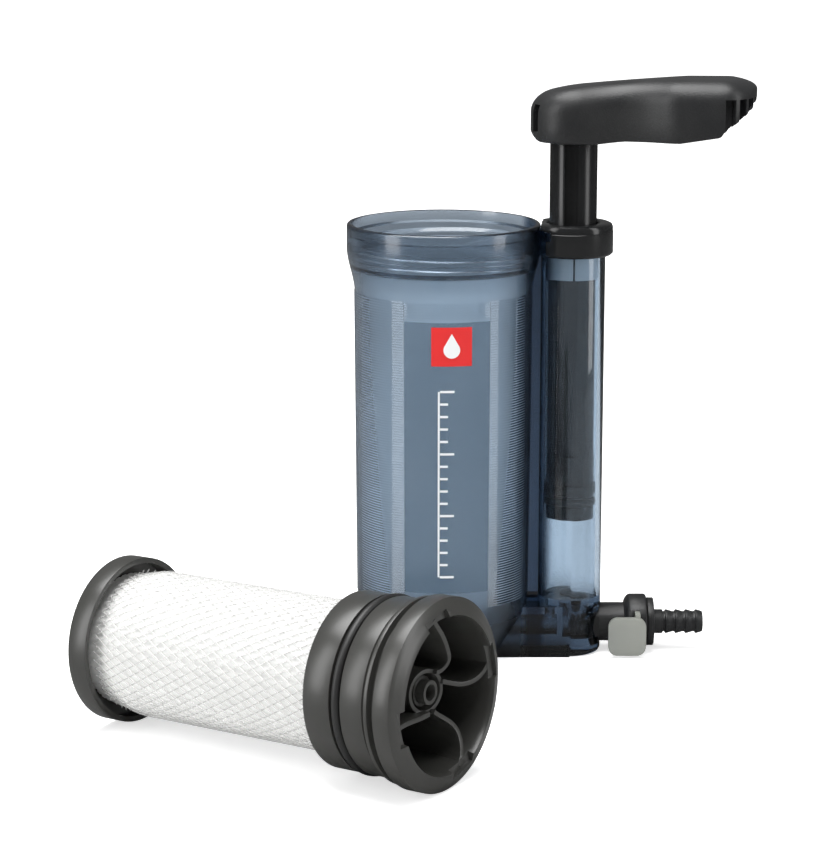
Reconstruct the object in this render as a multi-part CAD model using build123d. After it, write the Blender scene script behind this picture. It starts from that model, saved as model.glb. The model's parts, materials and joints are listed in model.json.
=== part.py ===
"""Hand-pumped camping water filter with its cartridge taken out.

Frame: millimetres, +Z up. The origin is the canister's axis on the underside of the base.
+X runs from the canister's axis to the pump's axis, and the label faces -Y.
"""
from build123d import *
from math import asin, atan2, cos, degrees, radians, sin, sqrt
import os

# ---- canister ----
CAN_H = 141.2            # rim height
RIM_R = 30.9             # outside of the rim
RIM_LIP = 1.5            # wall of the lip at the mouth
WALL = 2.3               # canister wall
WALL_TOP_R = 28.45       # outside of the wall under the flare
WALL_LOW_R = 27.8        # outside of the wall above the base cone
FLARE_Z0 = CAN_H - 22.2  # the flare's lower end
FLARE_Z1 = CAN_H - 7.7   # the flare's upper end
SEAT_Z0 = CAN_H - 30.2   # lower end of the straight sealing bore
SEAT_Z1 = CAN_H - 14.0   # upper end of the straight sealing bore
CONE_Z = 15.5            # top of the base cone
BASE_R = 19.0            # radius of the flat underside
THREAD_TURNS = 3
THREAD_PITCH = 2.9
THREAD_DEPTH = 1.2
THREAD_CREST = 0.9       # width of a thread ridge at its crest
MOUTH_DEPTH = 3.2        # plain lip above the thread

# ---- pump barrel and base ----
PUMP_X = 41.2            # distance between the two axes
BARREL_R = 10.45
BARREL_WALL = 1.75
BORE_R = BARREL_R - BARREL_WALL
BARREL_H = CAN_H - 2.0
BORE_FLOOR = 18.9
WEB_W = 6.0              # web that joins canister and barrel over their height
WEB_H = CAN_H - 13.2
BLOCK_H = 17.0           # base block with the two water ducts
PORT_Z = 9.2             # height of both ducts and of the hose coupling
DUCT_IN_R = 4.2
DUCT_OUT_R = 3.4
DUCT_WALL = 1.8          # wall between the two ducts
BASE_CHAMFER = 1.3

# ---- check valves, the same part twice ----
VALVE_R = 4.4
VALVE_T = 0.9
VALVE_PLATE = 2.0        # seat plate that the valve's stem passes through
VALVE_LIFT = 0.8
VALVE_STEM_R = 1.1
VALVE_BULB_R = 1.6
VALVE_PORT_R = 0.75
VALVE_PORT_PCR = 2.5
INLET_VALVE_DX = 1.6     # offset of the inlet valve from the pump axis
TRANSFER_PORT_R = 1.7
TRANSFER_PORT_DX = 6.2   # offset of the transfer port, towards the canister

# ---- pump cap, bush, rod and piston ----
CAP_Z0 = CAN_H - 10.0
CAP_TOP = CAN_H + 0.2
CAP_DISC = 1.45
CAP_GAP = 0.3            # running gap between cap and barrel
CAP_WALL = 2.11
CAP_R = BARREL_R + CAP_GAP + CAP_WALL
CAP_SKIRT_CUT = 45.6     # half angle of the skirt's cut-out on the canister side
CAP_TURN = 11.0          # bayonet turn that frees the cap
RIM_GAP = 0.35           # gap between cap and canister rim
LUG_A0 = 36.0            # lug's first angle, from the line between the axes
LUG_A1 = 52.0
LUG_R = BARREL_R + 1.55
LUG_Z0 = BARREL_H - 2.7
LUG_H = 2.5
BUSH_Z0 = BARREL_H - 15.6
BUSH_FLANGE_T = 0.75
BUSH_SLIT = 0.5
BUSH_WALL = 1.0          # wall of the bush between bore and rod
ROD_R = BORE_R - BUSH_WALL
ROD_Z0 = 45.2
ROD_TOP = CAN_H + 36.8
ROD_RUN = 0.05           # running clearance of rod and bush
FLUTE_W = 4.3
FLUTE_DEPTH = 2.4
FLUTE_Z0 = 66.0
ROD_TURN = -8.0          # angle of the flutes about the pump axis
RING_Z = 50.9            # piston O-ring
RING_D = 2.5
RING_GAP = 0.08          # gap of the O-ring in the bore and in its groove
WEAR_Z = 53.9
WEAR_H = 2.6
WEAR_T = 1.3

# ---- handle ----
HANDLE_TURN = -12.0      # angle of the handle about the pump axis
HANDLE_Z = ROD_TOP - 10.6  # underside at the rod
HANDLE_WALL = 2.3
HANDLE_EDGE = 1.8        # rounding of the top edges
LOBE_R = 13.8            # plan radius round the rod
PALM_X = 36.0            # centre of the wide palm end, from the rod
PALM_R = 15.0            # half width of the palm end
TIP_R = 21.0             # plan radius of the tip
TIP_X = 57.2             # tip, from the rod
TIP_CORNER = 8.0
WAIST_R = 30.0
BOSS_R = ROD_R + 2.5
SLOT_W = 3.3
SLOT_STEP = 13.7         # angle between the tip slots
SLOT_COUNT = 8
HANDLE_RIB = 1.6
PIN_R = 1.4
PIN_LEN = 2 * BOSS_R - 0.4
PIN_Z = HANDLE_Z + 6.0
FIT = 0.05               # radial gap of pieces that are fixed to each other

# ---- hose coupling ----
COLLAR_X0 = PUMP_X + 5.7
COLLAR_LEN = 4.1
COLLAR_AF = 11.6         # across flats of the hexagonal collar
POCKET_R = 6.9
NECK_R = 6.3
BOSS_X0 = COLLAR_X0 + 12.7
BOSS_X1 = BOSS_X0 + 7.0
COUPLING_R = 9.1
COUPLING_EDGE = 1.6
SPIGOT_LEN = 5.4
SPIGOT_R = 4.1
WATER_R = 2.2
NOSE_R = 3.9
NOSE_RUN = 0.07
NOSE_X0 = BOSS_X0 - 5.6
CATCH_X0 = BOSS_X0 + 2.5  # groove of the hose insert that the latch drops into
CATCH_LEN = 2.3
CATCH_R = 3.0
LATCH_T = 1.6
LATCH_HALF = 5.4         # half height of the latch's arm
LATCH_TRAVEL = 1.3
LATCH_GAP = 0.2
LATCH_END = 4.4          # far end of the arm
PAD_X0 = BOSS_X0 - 5.9
PAD_X1 = PAD_X0 + 12.2
PAD_Z0 = 1.0
PAD_Z1 = 13.6
PAD_Y = -12.2            # front face of the thumb pad
PAD_T = 1.7
PAD_CORNER = 3.0
SPRING_R = 0.9
FLANGE_X0 = BOSS_X1 + 0.3
FLANGE_T = 2.1
FLANGE_R = 7.85
BARB_X0 = FLANGE_X0 + 2.4
BARB_X1 = BARB_X0 + 15.9
BARB_R = 3.95
BARB_ROOT_R = 3.35
BARB_LAND = 2.8          # plain sleeve next to the flange
BARB_COUNT = 4

# ---- label ----
LABEL_A0 = -26.0         # angles on the canister, from -Y towards +X
LABEL_A1 = 30.0
LABEL_Z0 = 26.5
LABEL_Z1 = CAN_H - 27.4
LABEL_T = 0.2
LABEL_GAP = 0.03
TAB_A0 = -8.2
TAB_A1 = 17.4
TAB_Z0 = CAN_H - 41.1
TAB_Z1 = TAB_Z0 + 12.3
PRINT_T = 0.15
SCALE_Z0 = 32.0
SCALE_Z1 = CAN_H - 49.2
SCALE_TICKS = 16

# ---- cartridge, in its own frame along +Z from its far end ----
CART_POS = (-97.57, -69.71)
CART_HEADING = -34.3
HEAD_R = 25.6
CUP_R = HEAD_R - 0.7
CUP_LEN = 6.5
CUP_WALL = 1.6
HEAD_S0 = 86.6
RING_S0 = 95.4           # groove of the head's O-ring
RING_S1 = 99.2
HEAD_GROOVE = 2.0        # depth of the O-ring groove
HEAD_RING_D = 2.5
NECK_S0 = 106.5
FACE_S0 = 111.7
FACE_S1 = 116.9
FACE_R = HEAD_R + 2.2
FACE_RISE = 2.1
BOWL_R = HEAD_R - 2.8
BOWL_FLOOR = 91.0
NECK_ROOT_R = HEAD_R + 0.6
NECK_CREST_R = HEAD_R + 1.7
HUB_R = 6.5
HUB_WALL = 1.1
HUB_LOW = 109.3          # top of the hub ring on its low side
HUB_HIGH = 112.0         # and on its high side
NIPPLE_R = 3.5
NIPPLE_FOOT = 0.9        # the nipple's foot is wider by this
NIPPLE_BORE = 2.4
NIPPLE_TOP = 112.2
VANE_T = 1.3
VANE_RIM_TOP = 117.4     # top of the vanes at the rim
VANE_HUB_TOP = 112.6     # and at the hub
NOTCH_W = 10.5
NOTCH_DEPTH = 2.0
# Each vane's path from the rim to the hub as (radius, angle), seen from the front and from the right.
VANE_BOWL_R = 22.8       # bowl radius that the paths are drawn for
VANES = (
    ((23.2, 102), (17.6, 87), (12.8, 62), (10.2, 45), (7.2, 47), (6.0, 62)),
    ((23.2, 11), (19.5, 1), (14.0, -3), (9.2, 3), (6.0, 18)),
    ((23.2, -74), (19.4, -61), (14.9, -55), (9.7, -61), (6.0, -78)),
    ((23.2, -171), (14.2, -161), (8.9, -141), (6.0, -100)),
)
MESH_R = HEAD_R - 3.4
MESH_T = 0.6
PLEAT_R = MESH_R - MESH_T - 0.3
PLEAT_ROOT_R = PLEAT_R - 3.7
PLEATS = 44
CORE_R = 12.0
TUBE_R = 6.0
TUBE_WALL = 1.4
PLATE_T = 1.6


def turned(points, arc=360.0, start=0.0):
    """Solid turned about Z from (radius, height) points."""
    profile = Plane.XZ * make_face(Polyline(*points, close=True))
    return Rot(0, 0, start) * revolve(profile, Axis.Z, arc)


def outline(*pieces):
    """Face inside a closed chain of lines and arcs."""
    edges = [edge for piece in pieces for edge in piece.edges()]
    return make_face(edges)


def tube(r_out, r_in, z0, z1):
    """Round tube about Z."""
    return Pos(0, 0, z0) * extrude(Circle(r_out) - Circle(r_in), z1 - z0)


def rod_z(r, z0, z1):
    """Round bar about Z."""
    return Pos(0, 0, z0) * extrude(Circle(r), z1 - z0)


def rod_x(r, x0, x1, z=PORT_Z):
    """Round bar along X at height z."""
    return Pos(x0, 0, z) * Rot(0, 90, 0) * extrude(Circle(r), x1 - x0)


def turned_x(points, z=PORT_Z):
    """Solid turned about the X line at height z, from (x, radius) points."""
    shape = turned([(r, x) for x, r in points])
    return Pos(0, 0, z) * Rot(0, 90, 0) * shape


def block(x0, x1, y0, y1, z0, z1):
    """Box between two corners."""
    size = (x1 - x0, y1 - y0, z1 - z0)
    return Pos((x0 + x1) / 2, (y0 + y1) / 2, (z0 + z1) / 2) * Box(*size)


def wall_r(z):
    """Outside radius of the canister wall at height z, with its draft."""
    share = (z - CONE_Z) / (FLARE_Z0 - CONE_Z)
    return WALL_LOW_R + (WALL_TOP_R - WALL_LOW_R) * share


# ---------------- housing ----------------
SEAT_R = WALL_TOP_R - WALL - 0.05
ROOT_R = SEAT_R + 2.0
LIP_R = RIM_R - RIM_LIP
THREAD_TOP = CAN_H - MOUTH_DEPTH


def canister_outer():
    mid = ((wall_r(FLARE_Z0) + RIM_R) / 2, (FLARE_Z0 + FLARE_Z1) / 2)
    low = (wall_r(FLARE_Z0), FLARE_Z0)
    top = (RIM_R, FLARE_Z1)
    profile = outline(
        Polyline((0, 0), (BASE_R, 0), (WALL_LOW_R, CONE_Z), low),
        TangentArc(low, mid, tangent=(0, 1)),
        TangentArc(top, mid, tangent=(0, -1)),
        Polyline(top, (RIM_R, CAN_H), (0, CAN_H), (0, 0)),
    )
    return revolve(Plane.XZ * profile, Axis.Z)


def canister_inner():
    low_r = WALL_LOW_R - WALL
    points = [
        (0, WALL), (BASE_R - WALL / 2, WALL), (low_r, CONE_Z + WALL / 2), (SEAT_R, SEAT_Z0),
        (SEAT_R, SEAT_Z1), (ROOT_R, SEAT_Z1 + 1.6), (ROOT_R, THREAD_TOP - 0.6),
        (LIP_R, THREAD_TOP), (LIP_R, CAN_H + 1), (0, CAN_H + 1),
    ]
    return turned(points)


def thread_ridges():
    """Internal thread of the mouth as plain ridges."""
    ridges = []
    crest_r = ROOT_R - THREAD_DEPTH
    for turn in range(THREAD_TURNS):
        z = THREAD_TOP - 2.2 - turn * THREAD_PITCH
        half = THREAD_CREST / 2
        root = half + THREAD_DEPTH / 2
        points = [(ROOT_R + 0.5, z - root), (crest_r, z - half), (crest_r, z + half), (ROOT_R + 0.5, z + root)]
        ridges.append(turned(points))
    return ridges


def barrel_outer():
    points = [(0, 0), (BARREL_R - BASE_CHAMFER, 0), (BARREL_R, BASE_CHAMFER), (BARREL_R, BARREL_H), (0, BARREL_H)]
    return Pos(PUMP_X, 0, 0) * turned(points)


def cap_lug(extra=0.0, r1=LUG_R, low=0.0, turn=0.0, opposite=False):
    """Bayonet lug about the pump axis, or with clearance the slot that it needs."""
    first = (0 if opposite else 180) + LUG_A0 - turn - extra
    arc = LUG_A1 - LUG_A0 + turn + 2 * extra
    z0 = LUG_Z0 - low - (0.25 if extra else 0)
    z1 = LUG_Z0 + LUG_H + (0.25 if extra else 0)
    points = [(BARREL_R - 0.2, z0), (r1, z0), (r1, z1), (BARREL_R - 0.2, z1)]
    return Pos(PUMP_X, 0, 0) * turned(points, arc, first)


def valve_ports(depth):
    """Stem hole and ring of ports through a seat plate whose face is at Z = 0."""
    cut = rod_z(VALVE_STEM_R + 0.1, -depth - 1, 1)
    for k in range(4):
        angle = radians(45 + 90 * k)
        place = Pos(VALVE_PORT_PCR * cos(angle), VALVE_PORT_PCR * sin(angle), 0)
        cut += place * rod_z(VALVE_PORT_R, -depth - 1, 1)
    return cut


INLET_VALVE_X = PUMP_X + INLET_VALVE_DX
INLET_SEAT = Pos(INLET_VALVE_X, 0, BORE_FLOOR)
PAD_FACE_X = BASE_R - 0.6
TRANSFER_SEAT = Pos(PAD_FACE_X, 0, PORT_Z) * Rot(0, -90, 0)
INLET_DUCT_X0 = INLET_VALVE_X - VALVE_PORT_PCR - VALVE_PORT_R - 0.4
TRANSFER_DUCT_X1 = INLET_DUCT_X0 - DUCT_WALL


def make_housing():
    body = canister_outer() + barrel_outer()
    body += block(SEAT_R + 0.4, PUMP_X - BORE_R - 0.2, -WEB_W / 2, WEB_W / 2, 0, WEB_H)
    body += block(BASE_R / 2, PUMP_X, -BARREL_R, BARREL_R, 0, BLOCK_H)
    body -= canister_inner()
    for ridge in thread_ridges():
        body += ridge
    body += cap_lug() + cap_lug(opposite=True)
    body += rod_x(VALVE_R + 1.6, PAD_FACE_X, BASE_R + 6)
    body -= Pos(PUMP_X, 0, 0) * rod_z(BORE_R, BORE_FLOOR, BARREL_H + 1)
    chamber_r = VALVE_PORT_PCR + VALVE_PORT_R + 0.4
    body -= Pos(INLET_VALVE_X, 0, 0) * rod_z(chamber_r, PORT_Z, BORE_FLOOR - VALVE_PLATE)
    body -= rod_x(DUCT_IN_R, INLET_DUCT_X0, COLLAR_X0)
    body -= rod_x(POCKET_R, COLLAR_X0 - 0.1, PUMP_X + BARREL_R + 1)
    body -= rod_x(DUCT_OUT_R, PAD_FACE_X + VALVE_PLATE, TRANSFER_DUCT_X1)
    port_x = PUMP_X - TRANSFER_PORT_DX
    body -= Pos(port_x, 0, 0) * rod_z(TRANSFER_PORT_R, PORT_Z, BORE_FLOOR + 1)
    body -= INLET_SEAT * valve_ports(VALVE_PLATE)
    body -= TRANSFER_SEAT * valve_ports(VALVE_PLATE)
    return body


def umbrella_valve():
    """Rubber valve that opens along +Z, with its stem and bulb below the seat plate."""
    neck = VALVE_PLATE + VALVE_LIFT + 0.1
    points = [
        (0, -neck - 1.8), (VALVE_STEM_R, -neck - 1.8), (VALVE_BULB_R, -neck), (VALVE_STEM_R, -neck),
        (VALVE_STEM_R, 0.03), (VALVE_R, 0.03), (VALVE_R, 0.35), (VALVE_STEM_R, VALVE_T), (0, VALVE_T),
    ]
    return turned(points)


# ---------------- label ----------------
def film(a0, a1, z0, z1, inner, thickness):
    """Curved sheet on the drafted canister wall, between angles measured from -Y."""
    points = [
        (wall_r(z0) + inner, z0), (wall_r(z0) + inner + thickness, z0),
        (wall_r(z1) + inner + thickness, z1), (wall_r(z1) + inner, z1),
    ]
    return turned(points, a1 - a0, a0 - 90)


def make_label_print():
    """White level scale and a water drop on the tab, without lettering."""
    over_label = LABEL_GAP + LABEL_T + 0.02
    over_tab = over_label + PRINT_T + 0.02
    middle = (TAB_A0 + TAB_A1) / 2
    marks = [film(middle - 8.6, middle - 7.4, SCALE_Z0, SCALE_Z1, over_label, PRINT_T)]
    step = (SCALE_Z1 - SCALE_Z0) / (SCALE_TICKS - 1)
    for tick in range(SCALE_TICKS):
        z = SCALE_Z0 + tick * step
        reach = 9.0 if tick % 5 == 0 else 5.0
        marks.append(film(middle - 7.2, middle - 7.2 + reach, z - 0.35, z + 0.35, over_label, PRINT_T))
    drop_z = (TAB_Z0 + TAB_Z1) / 2 - 1.0
    drop = Circle(2.6) + make_face(Polyline((-2.35, 1.1), (2.35, 1.1), (0, 5.2), close=True))
    stamp = Plane.XZ * extrude(drop, 40)
    stamp = Rot(0, 0, middle) * Pos(0, 0, drop_z) * stamp
    marks.append(film(TAB_A0, TAB_A1, TAB_Z0, TAB_Z1, over_tab, PRINT_T) & stamp)
    return Compound(children=marks)


# ---------------- cap, bush, rod ----------------
def make_cap():
    disc_z = CAP_TOP - CAP_DISC
    skirt_r = BARREL_R + CAP_GAP
    points = [
        (ROD_R + 0.65, disc_z), (skirt_r, disc_z), (skirt_r, CAP_Z0), (CAP_R - 0.7, CAP_Z0), (CAP_R, CAP_Z0 + 0.7),
        (CAP_R, CAP_TOP - 2.75), (CAP_R - 0.12, CAP_TOP - 2.6), (CAP_R - 0.12, CAP_TOP - 1.3),
        (CAP_R - 0.5, CAP_TOP - 0.4), (CAP_R - 1.4, CAP_TOP), (ROD_R + 1.05, CAP_TOP), (ROD_R + 0.65, CAP_TOP - 0.4),
    ]
    cap = Pos(PUMP_X, 0, 0) * turned(points)
    for step in range(4):
        rim = Rot(0, 0, -CAP_TURN * step / 3) * Pos(-PUMP_X, 0, 0) * rod_z(RIM_R + RIM_GAP, CAP_Z0 - 1, CAP_TOP + 1)
        cap -= Pos(PUMP_X, 0, 0) * rim
    skirt = [(skirt_r - 1, CAP_Z0 - 1), (CAP_R + 1, CAP_Z0 - 1), (CAP_R + 1, disc_z - 0.4), (skirt_r - 1, disc_z - 0.4)]
    cap -= Pos(PUMP_X, 0, 0) * turned(skirt, 2 * CAP_SKIRT_CUT, 180 - CAP_SKIRT_CUT)
    cap -= cap_lug(extra=1.5, r1=CAP_R + 1)
    cap -= cap_lug(extra=1.5, r1=LUG_R + 0.2, turn=CAP_TURN, opposite=True)
    cap -= exit_slot()
    return cap


def exit_slot():
    """Way out of the blind lug slot, down to the skirt's edge."""
    points = [(BARREL_R - 0.2, CAP_Z0 - 1), (LUG_R + 0.2, CAP_Z0 - 1), (LUG_R + 0.2, LUG_Z0), (BARREL_R - 0.2, LUG_Z0)]
    first = LUG_A0 - CAP_TURN - 1.5
    return Pos(PUMP_X, 0, 0) * turned(points, LUG_A1 - LUG_A0 + 3, first)


def make_bush():
    bush = tube(BORE_R - FIT, ROD_R + ROD_RUN, BUSH_Z0, BARREL_H)
    flange_r = BARREL_R - 0.15
    bush += tube(flange_r, ROD_R + ROD_RUN, BARREL_H, BARREL_H + BUSH_FLANGE_T)
    bush -= block(-BUSH_SLIT / 2, BUSH_SLIT / 2, -BARREL_R, 0, BUSH_Z0 - 1, BARREL_H + 2)
    if PUMP_X - flange_r < RIM_R - 0.01:
        bush -= Pos(-PUMP_X, 0, 0) * rod_z(RIM_R + RIM_GAP, BARREL_H, CAN_H + 1)
    return Pos(PUMP_X, 0, 0) * bush


RING_MAJOR = BORE_R - RING_GAP - RING_D / 2


def make_rod():
    rod = rod_z(ROD_R, ROD_Z0, ROD_TOP)
    for k in range(4):
        flute = block(ROD_R - FLUTE_DEPTH, ROD_R + 1, -FLUTE_W / 2, FLUTE_W / 2, FLUTE_Z0, ROD_TOP + 1)
        rod -= Rot(0, 0, ROD_TURN + 90 * k) * flute
    groove_r = RING_MAJOR - RING_D / 2 - RING_GAP
    rod -= tube(ROD_R + 1, groove_r, RING_Z - RING_D / 2 - 0.1, RING_Z + RING_D / 2 + 0.1)
    rod -= tube(ROD_R + 1, BORE_R - 0.15 - WEAR_T - 0.1, WEAR_Z - 0.1, WEAR_Z + WEAR_H + 0.1)
    rod -= Rot(0, 0, HANDLE_TURN) * cross_pin(PIN_R + FIT, PIN_LEN + 2)
    return Pos(PUMP_X, 0, 0) * rod


def cross_pin(radius, length):
    return Pos(0, length / 2, PIN_Z) * Rot(90, 0, 0) * extrude(Circle(radius), length)


def make_wear_ring():
    ring = tube(BORE_R - 0.15, BORE_R - 0.15 - WEAR_T, WEAR_Z, WEAR_Z + WEAR_H)
    return Pos(PUMP_X, 0, 0) * ring


# ---------------- handle ----------------
def arc_about(center, radius, a0, a1):
    return CenterArc(center, radius, a0, a1 - a0)


def handle_plan(inset=0.0):
    """Plan outline: a lobe round the rod, a waist, and a wide palm end with a flat tip."""
    lobe = LOBE_R - inset
    palm = PALM_R - inset
    tip = TIP_R - inset
    corner = TIP_CORNER - inset
    waist = WAIST_R + inset
    wu = ((lobe + waist) ** 2 - (palm + waist) ** 2 + PALM_X ** 2) / (2 * PALM_X)
    wv = sqrt((lobe + waist) ** 2 - wu ** 2)
    lobe_a = degrees(atan2(wv, wu))
    palm_a = degrees(atan2(wv, wu - PALM_X))
    tip_c = TIP_X - TIP_R
    corner_v = palm - corner
    corner_u = tip_c + sqrt((tip - corner) ** 2 - corner_v ** 2)
    corner_a = degrees(atan2(corner_v, corner_u - tip_c))
    upper = [
        arc_about((wu, wv), waist, lobe_a - 180, palm_a - 180),
        arc_about((PALM_X, 0), palm, 90, palm_a),
        Line((PALM_X, palm), (corner_u, palm)),
        arc_about((corner_u, corner_v), corner, corner_a, 90),
    ]
    lower = [mirror(edge, Plane.XZ) for edge in upper]
    ends = [arc_about((0, 0), lobe, lobe_a, 360 - lobe_a), arc_about((tip_c, 0), tip, -corner_a, corner_a)]
    return outline(*upper, *lower, *ends)


CROWN_BACK = (-LOBE_R - 1, HANDLE_Z + 12.6)
CROWN_START = (-8.5, HANDLE_Z + 15.9)
CROWN_MID = (21.0, HANDLE_Z + 19.6)
CROWN_END = (TIP_X - 2.6, HANDLE_Z + 20.4)
NOSE_START = (PALM_X, HANDLE_Z + 1.8)
NOSE_END = (TIP_X + 0.5, HANDLE_Z + 15.2)


def handle_side():
    """Side outline along the handle: a crowned top and an underside that rises to the tip."""
    z = HANDLE_Z
    heel = (-LOBE_R - 1, z + 3.4)
    under = Polyline(heel, (-LOBE_R + 3.4, z + 0.2), (0, z), (9, z), (17, z + 1.0), NOSE_START)
    nose = Spline(NOSE_START, (TIP_X - 8, z + 5.2), (TIP_X - 1.6, z + 10.2), NOSE_END)
    tip = Polyline(NOSE_END, (TIP_X + 0.5, z + 17.8), CROWN_END)
    crown = ThreePointArc(CROWN_END, CROWN_MID, CROWN_START)
    back = Polyline(CROWN_START, CROWN_BACK, heel)
    return outline(under, nose, tip, crown, back)


def handle_hollow():
    """Space inside the shell, open below, with the ribs and the rod's boss left standing."""
    low = HANDLE_Z - 8
    crown = ThreePointArc(CROWN_END, CROWN_MID, CROWN_START)
    sides = Polyline(CROWN_START, CROWN_BACK, (CROWN_BACK[0], low), (TIP_X + 1, low), (TIP_X + 1, CROWN_END[1]), CROWN_END)
    under_crown = Plane.XZ * (Pos(0, -HANDLE_WALL) * outline(crown, sides))
    hollow = Pos(0, 0, low) * extrude(handle_plan(HANDLE_WALL), 40)
    hollow &= extrude(under_crown, PALM_R + 5, both=True)
    hollow -= rod_z(BOSS_R, low - 5, ROD_TOP + 12)
    hollow -= block(0, TIP_X, -HANDLE_RIB / 2, HANDLE_RIB / 2, HANDLE_Z + 3, HANDLE_Z + 30)
    for rib_x in (PALM_X - 13, PALM_X):
        hollow -= block(rib_x, rib_x + HANDLE_RIB, -PALM_R, PALM_R, HANDLE_Z + 5, HANDLE_Z + 30)
    return hollow


def crown_edges(solid):
    """Edges between the crown and the handle's side walls."""
    high = [edge for edge in solid.edges() if edge.center().Z > HANDLE_Z + 14 and edge.length > 4]
    return [edge for edge in high if CROWN_START[0] < edge.center().X < CROWN_END[0]]


def make_handle():
    solid = Pos(0, 0, HANDLE_Z - 5) * extrude(handle_plan(), 40)
    solid &= extrude(Plane.XZ * handle_side(), PALM_R + 5, both=True)
    solid = fillet(crown_edges(solid), HANDLE_EDGE)
    solid -= handle_hollow()
    solid -= rod_z(ROD_R + FIT, HANDLE_Z - 5, ROD_TOP + 0.1)
    solid -= cross_pin(PIN_R + FIT, PIN_LEN + 0.2)
    for slot in handle_slots():
        solid -= slot
    return Pos(PUMP_X, 0, 0) * Rot(0, 0, HANDLE_TURN) * solid


def handle_slots():
    """Open slots round the tip and two in the lobe's end wall."""
    slots = []
    half = (SLOT_COUNT - 1) / 2
    for k in range(SLOT_COUNT):
        angle = (k - half) * SLOT_STEP
        cut = block(16.0, 26.0, -SLOT_W / 2, SLOT_W / 2, HANDLE_Z - 3, HANDLE_Z + 15.0)
        slots.append(Pos(PALM_X + 2, 0, 0) * Rot(0, 0, angle) * cut)
    for side in (-1, 1):
        cut = block(LOBE_R - HANDLE_WALL - 1, LOBE_R + 2, -SLOT_W / 2, SLOT_W / 2, HANDLE_Z + 3.2, HANDLE_Z + 13.0)
        slots.append(Rot(0, 0, 180 + side * 36) * cut)
    return slots


# ---------------- hose coupling ----------------
def make_coupling():
    edge = COUPLING_EDGE
    points = [
        (COLLAR_X0 + COLLAR_LEN, 0), (COLLAR_X0 + COLLAR_LEN, NECK_R), (BOSS_X0 - 0.4, NECK_R), (BOSS_X0, NECK_R + 0.5),
        (BOSS_X0, COUPLING_R - edge), (BOSS_X0 + edge / 2, COUPLING_R - edge / 4), (BOSS_X0 + edge, COUPLING_R),
        (BOSS_X1 - 0.5, COUPLING_R), (BOSS_X1, COUPLING_R - 0.5), (BOSS_X1, 0),
    ]
    body = turned_x(points)
    collar = extrude(RegularPolygon(COLLAR_AF / 2, 6, major_radius=False), COLLAR_LEN)
    body += Pos(COLLAR_X0, 0, PORT_Z) * Rot(0, 90, 0) * collar
    body += rod_x(SPIGOT_R, COLLAR_X0 - SPIGOT_LEN, COLLAR_X0 + 1)
    body -= spigot_groove()
    body -= rod_x(WATER_R, COLLAR_X0 - SPIGOT_LEN - 1, NOSE_X0)
    body -= rod_x(NOSE_R + NOSE_RUN, NOSE_X0 - 0.2, BOSS_X1 + 1)
    slot_x = CATCH_X0 + (CATCH_LEN - LATCH_T) / 2
    half = LATCH_HALF + LATCH_GAP
    body -= block(slot_x - LATCH_GAP, slot_x + LATCH_T + LATCH_GAP, -COUPLING_R - 1, LATCH_END + LATCH_TRAVEL + 0.3,
                  PORT_Z - half, PORT_Z + half)
    body -= insert_groove_cut()
    return body


def spigot_groove():
    x0 = COLLAR_X0 - SPIGOT_LEN + 1.2
    return turned_x([(x0, SPIGOT_R + 1), (x0, SPIGOT_R - 1.1), (x0 + 1.7, SPIGOT_R - 1.1), (x0 + 1.7, SPIGOT_R + 1)])


def insert_groove_cut():
    """Widened bore that leaves room for the insert's O-ring."""
    return turned_x([(NOSE_X0 + 1.6, 0), (NOSE_X0 + 1.6, NOSE_R + 0.35), (NOSE_X0 + 4.0, NOSE_R + 0.35), (NOSE_X0 + 4.0, 0)])


def make_coupling_ring():
    x = COLLAR_X0 - SPIGOT_LEN + 1.2 + 0.85
    minor = 0.55
    ring = Torus(SPIGOT_R - 1.1 + minor + 0.02, minor)
    return Pos(x, 0, PORT_Z) * Rot(0, 90, 0) * ring


def make_insert():
    groove_x = NOSE_X0 + 2.0
    points = [
        (NOSE_X0, 0), (NOSE_X0, NOSE_R - 0.4), (NOSE_X0 + 0.4, NOSE_R), (groove_x, NOSE_R), (groove_x, NOSE_R - 1.2),
        (groove_x + 1.6, NOSE_R - 1.2), (groove_x + 1.6, NOSE_R), (CATCH_X0, NOSE_R), (CATCH_X0, CATCH_R),
        (CATCH_X0 + CATCH_LEN, CATCH_R), (CATCH_X0 + CATCH_LEN, NOSE_R), (FLANGE_X0, NOSE_R), (FLANGE_X0, FLANGE_R),
        (FLANGE_X0 + FLANGE_T, FLANGE_R), (FLANGE_X0 + FLANGE_T, BARB_R), (BARB_X0 + BARB_LAND, BARB_R),
    ]
    pitch = (BARB_X1 - BARB_X0 - BARB_LAND) / BARB_COUNT
    for k in range(BARB_COUNT):
        x = BARB_X0 + BARB_LAND + k * pitch
        points += [(x + 0.01, BARB_ROOT_R), (x + 0.25 * pitch, BARB_ROOT_R), (x + 0.27 * pitch, BARB_R)]
        points += [(x + 0.45 * pitch, BARB_R - 0.05), (x + pitch, BARB_ROOT_R)]
    points.append((BARB_X1, 0))
    insert = turned_x(points)
    insert -= rod_x(WATER_R, NOSE_X0 - 1, BARB_X1 + 1)
    return insert


def make_insert_ring():
    minor = 0.68
    ring = Torus(NOSE_R - 1.2 + minor + 0.02, minor)
    return Pos(NOSE_X0 + 2.8, 0, PORT_Z) * Rot(0, 90, 0) * ring


ARM_X0 = CATCH_X0 + (CATCH_LEN - LATCH_T) / 2


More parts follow.
